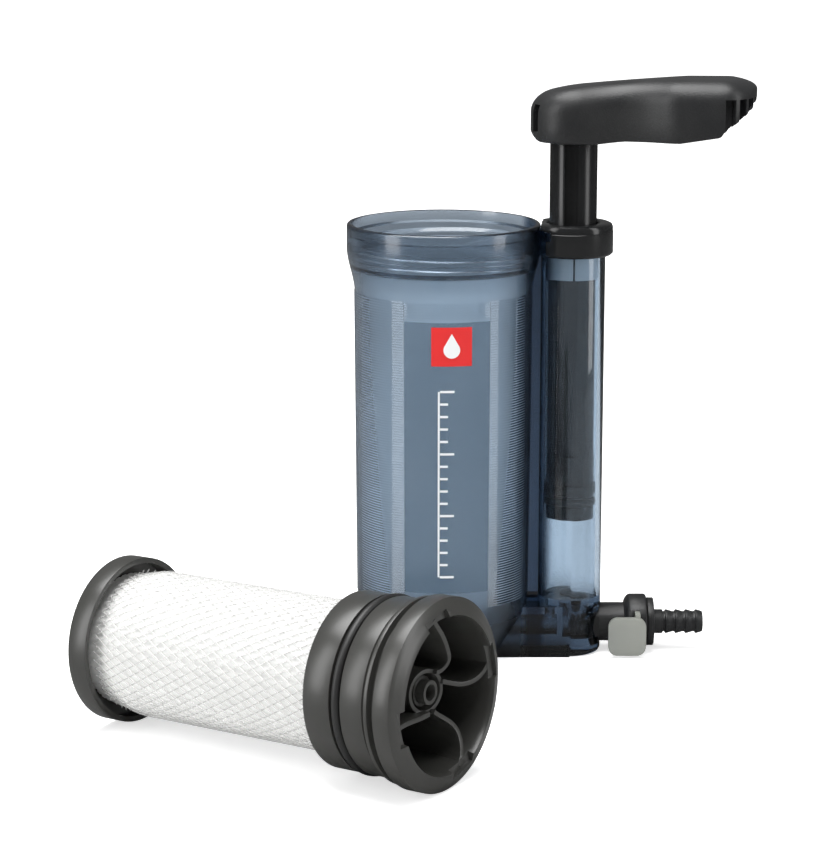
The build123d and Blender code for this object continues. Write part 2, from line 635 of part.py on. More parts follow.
def make_latch():
    """Thumb pad in front, with an arm whose window catches the insert's groove."""
    pad_w = PAD_X1 - PAD_X0
    pad_h = PAD_Z1 - PAD_Z0
    pad = extrude(RectangleRounded(pad_w, pad_h, PAD_CORNER), PAD_T)
    pad = Pos((PAD_X0 + PAD_X1) / 2, PAD_Y + PAD_T, (PAD_Z0 + PAD_Z1) / 2) * Rot(90, 0, 0) * pad
    arm = block(ARM_X0, ARM_X0 + LATCH_T, PAD_Y + PAD_T / 2, LATCH_END, PORT_Z - LATCH_HALF, PORT_Z + LATCH_HALF)
    x0 = ARM_X0 - 1
    x1 = ARM_X0 + LATCH_T + 1
    catch_r = CATCH_R + 0.15
    arm -= Pos(0, -LATCH_TRAVEL, 0) * rod_x(NOSE_R + 0.25, x0, x1)
    arm -= rod_x(catch_r, x0, x1)
    arm -= block(x0, x1, -LATCH_TRAVEL, 0, PORT_Z - catch_r, PORT_Z + catch_r)
    return pad + arm


def make_latch_spring():
    y0 = LATCH_END
    y1 = LATCH_END + LATCH_TRAVEL + 0.3
    spring = extrude(Circle(SPRING_R) - Circle(SPRING_R - 0.35), y1 - y0)
    return Pos(ARM_X0 + LATCH_T / 2, y1, PORT_Z) * Rot(90, 0, 0) * spring


# ---------------- cartridge ----------------
def make_cup():
    points = [
        (0, 0), (CUP_R, 0), (CUP_R, CUP_LEN), (CUP_R - CUP_WALL, CUP_LEN), (CUP_R - CUP_WALL, PLATE_T), (0, PLATE_T),
    ]
    return turned(points)


def make_pleats():
    points = []
    for k in range(PLEATS):
        a = radians(360.0 * k / PLEATS)
        b = radians(360.0 * (k + 0.5) / PLEATS)
        points += [(PLEAT_R * cos(a), PLEAT_R * sin(a)), (PLEAT_ROOT_R * cos(b), PLEAT_ROOT_R * sin(b))]
    star = make_face(Polyline(*points, close=True)) - Circle(CORE_R + 0.3)
    return Pos(0, 0, PLATE_T) * extrude(star, HEAD_S0 - PLATE_T)


def make_head():
    """Head moulding: O-ring groove, threaded neck, face ring, bowl, hub and outlet nipple."""
    crest = NECK_CREST_R
    root = NECK_ROOT_R
    pitch = (FACE_S0 - NECK_S0) / 4
    s = NECK_S0
    points = [
        (HEAD_R, HEAD_S0), (HEAD_R, RING_S0), (HEAD_R - HEAD_GROOVE, RING_S0), (HEAD_R - HEAD_GROOVE, RING_S1), (HEAD_R, RING_S1),
        (HEAD_R, s), (root - 1.2, s + 0.3), (root - 1.2, s + pitch - 0.2), (crest - 0.4, s + pitch + 0.2),
        (crest - 0.4, s + 2 * pitch), (root - 1.2, s + 2 * pitch + 0.3), (root - 1.2, s + 3.3 * pitch),
        (FACE_R, FACE_S0), (FACE_R, FACE_S1), (BOWL_R, FACE_S1 + FACE_RISE), (BOWL_R - 0.6, FACE_S1 + FACE_RISE - 2.0),
        (BOWL_R - 1.2, BOWL_FLOOR + 3), (BOWL_R - 4.2, BOWL_FLOOR), (0, BOWL_FLOOR), (0, HEAD_S0),
    ]
    head = turned(points)
    head += hub_ring()
    head += tube(NIPPLE_R + NIPPLE_FOOT, NIPPLE_BORE, BOWL_FLOOR - 0.1, HUB_LOW)
    head += tube(NIPPLE_R, NIPPLE_BORE, HUB_LOW - 0.1, NIPPLE_TOP)
    for path in VANES:
        head -= Rot(0, 0, path[0][1] + 90) * rim_notch()
    for path in VANES:
        head += vane(path)
    head -= rod_z(NIPPLE_BORE, HEAD_S0 - 1, BOWL_FLOOR + 0.1)
    return head


def hub_ring():
    """Ring round the nipple, cut off at a slope."""
    ring = tube(HUB_R, HUB_R - HUB_WALL, BOWL_FLOOR - 0.1, HUB_HIGH + 1)
    slope = degrees(atan2(HUB_HIGH - HUB_LOW, 2 * HUB_R))
    above = Pos(0, 0, (HUB_LOW + HUB_HIGH) / 2) * Rot(slope, 0, 0) * extrude(Circle(2 * HUB_R), HUB_R)
    return ring - above


def rim_notch():
    top = FACE_S1 + FACE_RISE + 1
    return block(BOWL_R - 2.2, BOWL_R + 1.8, -NOTCH_W / 2, NOTCH_W / 2, FACE_S1 + FACE_RISE - NOTCH_DEPTH, top)


def vane(path):
    """Curved grip wall from the rim to the hub, lower at the hub."""
    spread = (BOWL_R - HUB_R) / (VANE_BOWL_R - HUB_R)
    path = [(HUB_R - 0.5 + (r - HUB_R + 0.5) * spread, a) for r, a in path]
    points = [(r * cos(radians(a + 90)), r * sin(radians(a + 90))) for r, a in path]
    rim_r = path[0][0] + 1
    low = BOWL_FLOOR - 0.1
    wall = Pos(0, 0, low) * extrude(trace(Spline(*points), VANE_T), FACE_S1 - low + 1)
    limit = [(0, low), (rim_r, low), (rim_r, VANE_RIM_TOP), (HUB_R, VANE_HUB_TOP), (0, VANE_HUB_TOP)]
    wall &= turned(limit)
    return wall - rod_z(HUB_R - HUB_WALL, low - 1, FACE_S1 + 2)


def cartridge_place():
    """Lie the cartridge on the ground plane, resting on its end cup and on its face ring."""
    lift = (FACE_R - CUP_R) / FACE_S1
    slope = degrees(asin(lift))
    rise = CUP_R / cos(radians(slope))
    return Pos(CART_POS[0], CART_POS[1], rise) * Rot(0, 0, CART_HEADING) * Rot(0, 90 - slope, 0)


PLATE_S0 = HEAD_S0 - PLATE_T


def cartridge_parts():
    return {
        "cartridge_end_cup": make_cup(),
        "mesh_sleeve": tube(MESH_R, MESH_R - MESH_T, PLATE_T, HEAD_S0),
        "pleated_media": Pos(0, 0, 0.02) * make_pleats() & rod_z(CUP_R, PLATE_T, PLATE_S0 - 0.05),
        "carbon_core": tube(CORE_R, TUBE_R + 0.1, PLATE_T, PLATE_S0 - 0.05),
        "core_tube": tube(TUBE_R, TUBE_R - TUBE_WALL, PLATE_T, PLATE_S0 - 0.05),
        "media_end_plate": tube(MESH_R - MESH_T - 0.05, NIPPLE_BORE, PLATE_S0, HEAD_S0),
        "cartridge_head": make_head(),
        "head_o_ring": Pos(0, 0, (RING_S0 + RING_S1) / 2) * Torus(HEAD_R - HEAD_GROOVE + HEAD_RING_D / 2, HEAD_RING_D / 2),
    }


def build():
    os.makedirs("parts", exist_ok=True)
    over_label = LABEL_GAP + LABEL_T + 0.02
    parts = {
        "housing": make_housing(),
        "label_panel": film(LABEL_A0, LABEL_A1, LABEL_Z0, LABEL_Z1, LABEL_GAP, LABEL_T),
        "label_tab": film(TAB_A0, TAB_A1, TAB_Z0, TAB_Z1, over_label, PRINT_T),
        "label_print": make_label_print(),
        "pump_cap": make_cap(),
        "guide_bush": make_bush(),
        "pump_rod": make_rod(),
        "piston_o_ring": Pos(PUMP_X, 0, RING_Z) * Torus(RING_MAJOR, RING_D / 2),
        "piston_wear_ring": make_wear_ring(),
        "handle": make_handle(),
        "handle_pin": Pos(PUMP_X, 0, 0) * Rot(0, 0, HANDLE_TURN) * cross_pin(PIN_R, PIN_LEN),
        "inlet_valve": INLET_SEAT * umbrella_valve(),
        "transfer_valve": TRANSFER_SEAT * umbrella_valve(),
        "inlet_coupling": make_coupling(),
        "coupling_o_ring": make_coupling_ring(),
        "latch_plate": make_latch(),
        "latch_spring": make_latch_spring(),
        "hose_insert": make_insert(),
        "insert_o_ring": make_insert_ring(),
    }
    place = cartridge_place()
    for name, shape in cartridge_parts().items():
        parts[name] = place * shape
    for name, shape in parts.items():
        export_step(shape, f"parts/{name}.step")


build()
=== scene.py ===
"""Pump water filter for camping: the looks of the packed part, laid out as an add-on.

Lengths are in metres in the row frame. +Z is up, +X runs from the canister to the pump,
and the label faces -Y.
"""

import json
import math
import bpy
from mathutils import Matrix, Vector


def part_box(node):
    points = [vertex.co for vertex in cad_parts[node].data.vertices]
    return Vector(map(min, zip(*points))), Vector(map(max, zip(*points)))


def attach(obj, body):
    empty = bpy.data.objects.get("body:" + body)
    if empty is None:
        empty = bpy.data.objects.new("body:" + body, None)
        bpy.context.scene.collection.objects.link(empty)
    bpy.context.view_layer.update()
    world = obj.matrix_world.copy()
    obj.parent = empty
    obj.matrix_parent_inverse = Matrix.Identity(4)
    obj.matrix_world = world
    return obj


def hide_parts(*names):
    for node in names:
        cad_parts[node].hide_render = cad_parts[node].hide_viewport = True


bl_info = {
    "name": "Pump water filter",
    "version": (1, 0, 0),
    "blender": (4, 5, 0),
    "location": "View3D > Sidebar > Filter",
    "description": "Builds the pump water filter's finer pieces, finishes and studio round its packed CAD part",
    "category": "Object",
}

import bmesh
import bpy
from mathutils import Matrix, Vector

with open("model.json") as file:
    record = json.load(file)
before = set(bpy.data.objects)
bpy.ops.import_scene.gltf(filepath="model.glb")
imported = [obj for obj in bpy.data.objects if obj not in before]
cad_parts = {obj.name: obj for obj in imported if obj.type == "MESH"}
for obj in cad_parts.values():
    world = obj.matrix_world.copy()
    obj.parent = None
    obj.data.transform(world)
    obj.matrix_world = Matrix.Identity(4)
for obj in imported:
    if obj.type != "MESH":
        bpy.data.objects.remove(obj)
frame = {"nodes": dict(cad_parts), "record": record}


def box_middle(node):
    """Middle of a CAD node's box."""
    low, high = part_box(node)
    return (Vector(low) + Vector(high)) / 2


# Sizes of the packed part that the finer pieces keep, to a hundredth of a millimetre.
PUMP_X = round(box_middle("piston_wear_ring").x, 5)
PORT_Z = round(box_middle("hose_insert").z, 5)
RIM_R = round(-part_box("housing")[0][0], 5)
RIM_TOP = round(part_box("housing")[1][2], 5)
HANDLE_Z = round(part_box("handle")[0][2], 5)

# Canister and barrel.
FOOT_R = 0.0190
CONE_TOP = 0.0155
WALL_LOW_R = 0.0278
WALL_TOP_R = 0.02845
FLARE_LOW = RIM_TOP - 0.0222
FLARE_HIGH = RIM_TOP - 0.0077
SEAT_LOW = RIM_TOP - 0.0302
SEAT_HIGH = RIM_TOP - 0.0140
LIP_R = RIM_R - 0.0015
BARREL_R = 0.01045
BARREL_TOP = RIM_TOP - 0.0020
BORE_R = 0.0087
BORE_FLOOR = 0.0189
WEB_HALF = 0.0030
WEB_TOP = RIM_TOP - 0.0102
BLOCK_TOP = 0.0170
RIBS_LOW = 0.0207
RIBS_HIGH = 0.1200
LABEL_TOP = 0.1146
LABEL_LEFT = math.radians(-90 - 26.4)
LABEL_RIGHT = math.radians(-90 + 30.4)

# Cartridge: where its end cup's far face stands, and which way it lies on its head and its cup.
CARTRIDGE_FOOT = (-0.09757, -0.06971)
CARTRIDGE_HEADING = math.radians(-34.3)
HEAD_REST_R = 0.0278
CUP_REST_R = 0.0249
REST_SPAN = 0.1169
# Cartridge, along its axis from the end cup's far face.
MEDIUM_R = 0.0214
MEDIUM_LOW = 0.0020
MEDIUM_HIGH = 0.0849
SLEEVE_R = 0.0218
SLEEVE_LOW = 0.0058
SLEEVE_HIGH = 0.0868
CUP_DEPTH = 0.0060
TAPER_LENGTH = 0.0100
TAPER = 0.0016

# Handle, over its underside and along it from the rod.
ROD_TOP = HANDLE_Z + 0.0106
PIN_Z = HANDLE_Z + 0.0060
BOSS_R = 0.0102
RIB_HALF = 0.0008
SLOT_HALF = 0.00165
TIP_SLOTS = 8


# ---------------------------------------------------------------- settings
class WF_HousingSettings(bpy.types.PropertyGroup):
    """Sizes of the translucent housing."""

    segments: bpy.props.IntProperty(
        name="Segments", description="Facets round the canister", default=144, min=24,
    )
    wall: bpy.props.FloatProperty(
        name="Wall", description="Canister wall", default=0.0023, unit="LENGTH",
    )
    rib_pitch: bpy.props.FloatProperty(
        name="Rib pitch", description="Distance between the fine ribs", default=0.00082, unit="LENGTH",
    )
    rib_height: bpy.props.FloatProperty(
        name="Rib height", description="Height of the fine ribs", default=0.00018, unit="LENGTH",
    )
    thread_pitch: bpy.props.FloatProperty(
        name="Thread pitch", description="Rise of the mouth's thread in one turn",
        default=0.0029, unit="LENGTH",
    )
    thread_depth: bpy.props.FloatProperty(
        name="Thread depth", description="Depth of the mouth's thread", default=0.0012, unit="LENGTH",
    )
    thread_turns: bpy.props.FloatProperty(
        name="Thread turns", description="Turns of the mouth's thread", default=2.6,
    )


class WF_NetSettings(bpy.types.PropertyGroup):
    """Sizes of the net over the pleated medium."""

    strands: bpy.props.IntProperty(
        name="Strands", description="Strands that lean each way", default=50, min=8,
    )
    lean: bpy.props.FloatProperty(
        name="Lean", description="Turn of a strand over the net's length",
        default=math.radians(122), subtype="ANGLE",
    )
    thickness: bpy.props.FloatProperty(
        name="Thickness", description="Width of one strand", default=0.00038, unit="LENGTH",
    )
    pleats: bpy.props.IntProperty(
        name="Pleats", description="Pleats of the medium", default=44, min=8,
    )
    pleat_depth: bpy.props.FloatProperty(
        name="Pleat depth", description="Depth of the creases between pleats",
        default=0.0004, unit="LENGTH",
    )


class WF_HandleSettings(bpy.types.PropertyGroup):
    """Sizes of the pump handle."""

    turn: bpy.props.FloatProperty(
        name="Turn", description="Angle about the pump axis", default=math.radians(-12), subtype="ANGLE",
    )
    lobe: bpy.props.FloatProperty(
        name="Lobe", description="Plan radius round the rod", default=0.0138, unit="LENGTH",
    )
    palm: bpy.props.FloatProperty(
        name="Palm", description="Half width of the palm end", default=0.0150, unit="LENGTH",
    )
    palm_x: bpy.props.FloatProperty(
        name="Palm centre", description="Centre of the palm end, from the rod",
        default=0.0360, unit="LENGTH",
    )
    tip: bpy.props.FloatProperty(
        name="Tip radius", description="Plan radius of the tip", default=0.0210, unit="LENGTH",
    )
    tip_x: bpy.props.FloatProperty(
        name="Tip", description="Tip, from the rod", default=0.0572, unit="LENGTH",
    )
    corner: bpy.props.FloatProperty(
        name="Corner", description="Plan radius of the tip's corners", default=0.0080, unit="LENGTH",
    )
    waist: bpy.props.FloatProperty(
        name="Waist", description="Plan radius of the waist", default=0.0300, unit="LENGTH",
    )
    rounding: bpy.props.FloatProperty(
        name="Rounding", description="Rounding of the top", default=0.0070, unit="LENGTH",
    )
    wall: bpy.props.FloatProperty(
        name="Wall", description="Wall of the shell", default=0.0023, unit="LENGTH",
    )


class WF_StageSettings(bpy.types.PropertyGroup):
    """Studio and camera."""

    camera_x: bpy.props.FloatProperty(
        name="Camera X", description="Camera place", default=-0.01038, unit="LENGTH",
    )
    camera_y: bpy.props.FloatProperty(
        name="Camera Y", description="Camera place", default=-0.86888, unit="LENGTH",
    )
    camera_z: bpy.props.FloatProperty(
        name="Camera Z", description="Camera height", default=0.26629, unit="LENGTH",
    )
    camera_pitch: bpy.props.FloatProperty(
        name="Pitch", description="How far the camera looks down",
        default=math.radians(12.4045), subtype="ANGLE",
    )
    camera_lens: bpy.props.FloatProperty(
        name="Lens", description="Focal length in millimetres", default=116.49,
    )
    key: bpy.props.FloatProperty(
        name="Key light", description="Power of the large soft light overhead in watts", default=22.0,
    )
    fill: bpy.props.FloatProperty(
        name="Fill light", description="Power of each side light in watts", default=3.5,
    )
    world: bpy.props.FloatProperty(
        name="World", description="Strength of the surroundings as they light the object", default=0.16,
    )
    backdrop: bpy.props.FloatProperty(
        name="Backdrop", description="Brightness of the surroundings as the camera sees them", default=1.05,
    )
    lift: bpy.props.FloatProperty(
        name="Floor lift", description="Glow that keeps the floor white to the camera", default=0.62,
    )


# ---------------------------------------------------------------- mesh helpers
def new_object(name, bm):
    """Object at the origin from a finished bmesh."""
    mesh = bpy.data.meshes.new(name)
    bm.to_mesh(mesh)
    bm.free()
    obj = bpy.data.objects.new(name, mesh)
    bpy.context.scene.collection.objects.link(obj)
    return obj


def spun_solid(name, points, centre_x=0.0, steps=96):
    """Closed solid spun about a vertical axis from a (radius, height) line that starts and ends on it."""
    bm = bmesh.new()
    verts = [bm.verts.new((centre_x + r, 0, z)) for r, z in points]
    edges = [bm.edges.new(pair) for pair in zip(verts, verts[1:])]
    bmesh.ops.spin(
        bm, geom=verts + edges, cent=(centre_x, 0, 0), axis=(0, 0, 1),
        angle=math.tau, steps=steps, use_merge=True,
    )
    bmesh.ops.remove_doubles(bm, verts=bm.verts, dist=1e-7)
    bmesh.ops.recalc_face_normals(bm, faces=bm.faces)
    return new_object(name, bm)


def spun_band(name, points, first, last, centre_x=0.0, steps=96):
    """Closed solid from a closed (radius, height) loop spun between two angles."""
    bm = bmesh.new()
    turn = Matrix.Rotation(first, 3, "Z")
    verts = [bm.verts.new(Vector((centre_x, 0, 0)) + turn @ Vector((r, 0, z))) for r, z in points]
    face = bm.faces.new(verts)
    geom = verts + list(face.edges) + [face]
    bmesh.ops.spin(bm, geom=geom, cent=(centre_x, 0, 0), axis=(0, 0, 1), angle=last - first, steps=steps)
    bmesh.ops.remove_doubles(bm, verts=bm.verts, dist=1e-7)
    bmesh.ops.recalc_face_normals(bm, faces=bm.faces)
    return new_object(name, bm)


def block(name, low, high):
    """Box between two corners."""
    bm = bmesh.new()
    bmesh.ops.create_cube(bm, size=1.0)
    low, high = Vector(low), Vector(high)
    bmesh.ops.scale(bm, vec=high - low, verts=bm.verts)
    bmesh.ops.translate(bm, vec=(low + high) / 2, verts=bm.verts)
    return new_object(name, bm)


def round_bar(name, radius, start, end, segments=48):
    """Closed round bar between two points."""
    start, end = Vector(start), Vector(end)
    bm = bmesh.new()
    length = (end - start).length
    bmesh.ops.create_cone(bm, cap_ends=True, segments=segments, radius1=radius, radius2=radius, depth=length)
    turn = (end - start).to_track_quat("Z", "Y").to_matrix()
    bmesh.ops.rotate(bm, matrix=turn, verts=bm.verts)
    bmesh.ops.translate(bm, vec=(start + end) / 2, verts=bm.verts)
    return new_object(name, bm)


def combine(target, tool, operation):
    """Boolean of two closed solids, applied; the tool is used up."""
    mod = target.modifiers.new("combine", "BOOLEAN")
    mod.operation = operation
    mod.solver = "MANIFOLD"
    mod.object = tool
    graph = bpy.context.evaluated_depsgraph_get()
    made = bpy.data.meshes.new_from_object(target.evaluated_get(graph))
    old = target.data
    target.modifiers.clear()
    target.data = made
    bpy.data.meshes.remove(old)
    spent = tool.data
    bpy.data.objects.remove(tool)
    bpy.data.meshes.remove(spent)
    if not made.polygons:
        raise RuntimeError(f"{target.name} came out empty")
    return target


def smooth(obj, degrees=32.0):
    """Smooth shading that keeps edges sharper than the angle."""
    obj.data.polygons.foreach_set("use_smooth", [True] * len(obj.data.polygons))
    obj.data.set_sharp_from_angle(angle=math.radians(degrees))
    obj.data.update()


def tidy_mesh(obj, distance=1e-6):
    """Welds what a boolean left apart and turns the faces outward."""
    bm = bmesh.new()
    bm.from_mesh(obj.data)
    bmesh.ops.remove_doubles(bm, verts=bm.verts, dist=distance)
    bmesh.ops.recalc_face_normals(bm, faces=bm.faces)
    bm.to_mesh(obj.data)
    bm.free()


# ---------------------------------------------------------------- shader helpers
def group_input(tree, name, kind, value=None):
    socket = tree.interface.new_socket(name=name, in_out="INPUT", socket_type=kind)
    if value is not None:
        socket.default_value = value


def skin_group():
    """Moulded skin: two noises that vary the colour and roughness, and a fine grain height."""
    found = bpy.data.node_groups.get("WF moulded skin")
    if found:
        return found
    tree = bpy.data.node_groups.new("WF moulded skin", "ShaderNodeTree")
    group_input(tree, "Colour", "NodeSocketColor", (0.5, 0.5, 0.5, 1))
    group_input(tree, "Second colour", "NodeSocketColor", (0.4, 0.4, 0.4, 1))
    group_input(tree, "Roughness", "NodeSocketFloat", 0.4)
    group_input(tree, "Roughness spread", "NodeSocketFloat", 0.1)
    group_input(tree, "Grain size", "NodeSocketFloat", 4000.0)
    group_input(tree, "Cloud size", "NodeSocketFloat", 60.0)
    tree.interface.new_socket(name="Colour", in_out="OUTPUT", socket_type="NodeSocketColor")
    for name in ("Roughness", "Height"):
        tree.interface.new_socket(name=name, in_out="OUTPUT", socket_type="NodeSocketFloat")
    nodes, link = tree.nodes, tree.links.new
    source = nodes.new("NodeGroupInput")
    target = nodes.new("NodeGroupOutput")
    place = nodes.new("ShaderNodeTexCoord")
    cloud = nodes.new("ShaderNodeTexNoise")
    cloud.inputs["Detail"].default_value = 4.0
    grain = nodes.new("ShaderNodeTexNoise")
    grain.inputs["Detail"].default_value = 2.0
    link(place.outputs["Object"], cloud.inputs["Vector"])
    link(place.outputs["Object"], grain.inputs["Vector"])
    link(source.outputs["Cloud size"], cloud.inputs["Scale"])
    link(source.outputs["Grain size"], grain.inputs["Scale"])
    spread = nodes.new("ShaderNodeMapRange")
    spread.inputs["From Min"].default_value = 0.35
    spread.inputs["From Max"].default_value = 0.65
    link(cloud.outputs["Fac"], spread.inputs["Value"])
    mix = nodes.new("ShaderNodeMix")
    mix.data_type = "RGBA"
    link(spread.outputs["Result"], mix.inputs["Factor"])
    link(source.outputs["Colour"], mix.inputs["A"])
    link(source.outputs["Second colour"], mix.inputs["B"])
    rough = nodes.new("ShaderNodeMath")
    rough.operation = "MULTIPLY_ADD"
    link(spread.outputs["Result"], rough.inputs[0])
    link(source.outputs["Roughness spread"], rough.inputs[1])
    link(source.outputs["Roughness"], rough.inputs[2])
    link(mix.outputs["Result"], target.inputs["Colour"])
    link(rough.outputs[0], target.inputs["Roughness"])
    link(grain.outputs["Fac"], target.inputs["Height"])
    return tree


def moulded(name, colour, second, rough, spread=0.08, grain=3500.0, bump=0.04, distance=0.0001, **extra):
    """Material with the moulded skin on a Principled shader; extra sets sockets by name."""
    mat = bpy.data.materials.new(name)
    mat.use_nodes = True
    tree = mat.node_tree
    shader = tree.nodes["Principled BSDF"]
    skin = tree.nodes.new("ShaderNodeGroup")
    skin.node_tree = skin_group()
    skin.inputs["Colour"].default_value = (*colour, 1)
    skin.inputs["Second colour"].default_value = (*second, 1)
    skin.inputs["Roughness"].default_value = rough
    skin.inputs["Roughness spread"].default_value = spread
    skin.inputs["Grain size"].default_value = grain
    raised = tree.nodes.new("ShaderNodeBump")
    raised.inputs["Strength"].default_value = bump
    raised.inputs["Distance"].default_value = distance
    tree.links.new(skin.outputs["Height"], raised.inputs["Height"])
    tree.links.new(skin.outputs["Colour"], shader.inputs["Base Color"])
    tree.links.new(skin.outputs["Roughness"], shader.inputs["Roughness"])
    tree.links.new(raised.outputs["Normal"], shader.inputs["Normal"])
    for socket, value in extra.items():
        shader.inputs[socket].default_value = value
    return mat


def frost_and_painted_shade_group():
    """Roughness of the frosted inner wall, and a mask of painted shade for the crease, the foot and the mouth.
    """
    tree = bpy.data.node_groups.new("WF frosted wall and painted shade", "ShaderNodeTree")
    group_input(tree, "Radius", "NodeSocketFloat", 0.0273)
    group_input(tree, "Height", "NodeSocketFloat", 0.1275)
    group_input(tree, "Clear", "NodeSocketFloat", 0.05)
    group_input(tree, "Frosted", "NodeSocketFloat", 0.35)
    tree.interface.new_socket(name="Roughness", in_out="OUTPUT", socket_type="NodeSocketFloat")
    tree.interface.new_socket(name="Shade", in_out="OUTPUT", socket_type="NodeSocketFloat")
    nodes, link = tree.nodes, tree.links.new
    source = nodes.new("NodeGroupInput")
    target = nodes.new("NodeGroupOutput")
    place = nodes.new("ShaderNodeTexCoord")
    flat = nodes.new("ShaderNodeVectorMath")
    flat.operation = "MULTIPLY"
    flat.inputs[1].default_value = (1, 1, 0)
    reach = nodes.new("ShaderNodeVectorMath")
    reach.operation = "LENGTH"
    parts = nodes.new("ShaderNodeSeparateXYZ")
    near = nodes.new("ShaderNodeMath")
    near.operation = "LESS_THAN"
    low = nodes.new("ShaderNodeMath")
    low.operation = "LESS_THAN"
    both = nodes.new("ShaderNodeMath")
    both.operation = "MULTIPLY"
    level = nodes.new("ShaderNodeMix")
    link(place.outputs["Object"], flat.inputs[0])
    link(flat.outputs["Vector"], reach.inputs[0])
    link(place.outputs["Object"], parts.inputs[0])
    link(reach.outputs["Value"], near.inputs[0])
    link(source.outputs["Radius"], near.inputs[1])
    link(parts.outputs["Z"], low.inputs[0])
    link(source.outputs["Height"], low.inputs[1])
    link(near.outputs[0], both.inputs[0])
    link(low.outputs[0], both.inputs[1])
    link(both.outputs[0], level.inputs["Factor"])
    link(source.outputs["Clear"], level.inputs["A"])
    link(source.outputs["Frosted"], level.inputs["B"])
    # The crease between canister and barrel, the foot over the base block, and the mouth get painted shade:
    # this mask darkens their colour.
    rise = ramp(tree, parts.outputs["X"], 0.0235, 0.0284, 0.0, 1.0)
    fall = ramp(tree, parts.outputs["X"], 0.0312, 0.0360, 1.0, 0.0)
    foot = ramp(tree, parts.outputs["Z"], 0.0150, 0.0260, 0.55, 0.0)
    mouth = ramp(tree, parts.outputs["Z"], SEAT_HIGH - 0.0010, SEAT_HIGH + 0.0018, 0.0, 0.52)
    # The mouth's mask does two things: it blurs the roughness, and it paints shade into the colour inside the
    # rim.
    round_mouth = nodes.new("ShaderNodeMath")
    round_mouth.operation = "LESS_THAN"
    round_mouth.inputs[1].default_value = RIM_R + 0.0003
    rim = nodes.new("ShaderNodeMath")
    rim.operation = "MULTIPLY"
    blur = nodes.new("ShaderNodeMath")
    blur.operation = "MULTIPLY_ADD"
    blur.inputs[1].default_value = 0.22
    link(reach.outputs["Value"], round_mouth.inputs[0])
    link(round_mouth.outputs[0], rim.inputs[0])
    link(mouth, rim.inputs[1])
    link(rim.outputs[0], blur.inputs[0])
    link(level.outputs["Result"], blur.inputs[2])
    link(blur.outputs[0], target.inputs["Roughness"])
    # Shade output: the painted shade of crease, foot and mouth together.
    crease = nodes.new("ShaderNodeMath")
    crease.operation = "MULTIPLY"
    shade = nodes.new("ShaderNodeMath")
    shade.operation = "MAXIMUM"
    total = nodes.new("ShaderNodeMath")
    total.operation = "MAXIMUM"
    link(rise, crease.inputs[0])
    link(fall, crease.inputs[1])
    link(crease.outputs[0], shade.inputs[0])
    link(foot, shade.inputs[1])
    link(shade.outputs[0], total.inputs[0])
    link(rim.outputs[0], total.inputs[1])
    link(total.outputs[0], target.inputs["Shade"])
    return tree


def ramp(tree, value, low, high, at_low, at_high):
    """Smooth step of a value between two levels."""
    node = tree.nodes.new("ShaderNodeMapRange")
    node.interpolation_type = "SMOOTHSTEP"
    for name, number in (("From Min", low), ("From Max", high), ("To Min", at_low), ("To Max", at_high)):
        node.inputs[name].default_value = number
    tree.links.new(value, node.inputs["Value"])
    return node.outputs["Result"]


def housing_material():
    """Blue-grey clear plastic that darkens with depth, frosted on the canister's inner wall, with shade painted
    into its colour at the crease, the foot and the mouth.
    """
    extra = {"Transmission Weight": 0.99, "IOR": 1.5, "Specular IOR Level": 0.36}
    mat = moulded("WF housing", (0.64, 0.72, 0.79), (0.62, 0.70, 0.77), 0.08, 0.04, 900, 0.01, **extra)
    tree = mat.node_tree
    frost_and_shade = tree.nodes.new("ShaderNodeGroup")
    frost_and_shade.node_tree = frost_and_painted_shade_group()
    shader = tree.nodes["Principled BSDF"]
    tree.links.new(frost_and_shade.outputs["Roughness"], shader.inputs["Roughness"])
    # Painted shade: the Shade mask mixes the colour towards dark navy at the crease, the foot and the mouth.
    colour = tree.nodes.new("ShaderNodeMix")
    colour.data_type = "RGBA"
    colour.inputs["B"].default_value = (0.030, 0.052, 0.088, 1)
    tree.links.new(frost_and_shade.outputs["Shade"], colour.inputs["Factor"])
    tree.links.new(shader.inputs["Base Color"].links[0].from_socket, colour.inputs["A"])
    tree.links.new(colour.outputs["Result"], shader.inputs["Base Color"])
    depth = tree.nodes.new("ShaderNodeVolumeAbsorption")
    depth.inputs["Color"].default_value = (0.20, 0.33, 0.46, 1)
    depth.inputs["Density"].default_value = 130.0
    tree.links.new(depth.outputs["Volume"], tree.nodes["Material Output"].inputs["Volume"])
    return mat


MATERIALS = {}


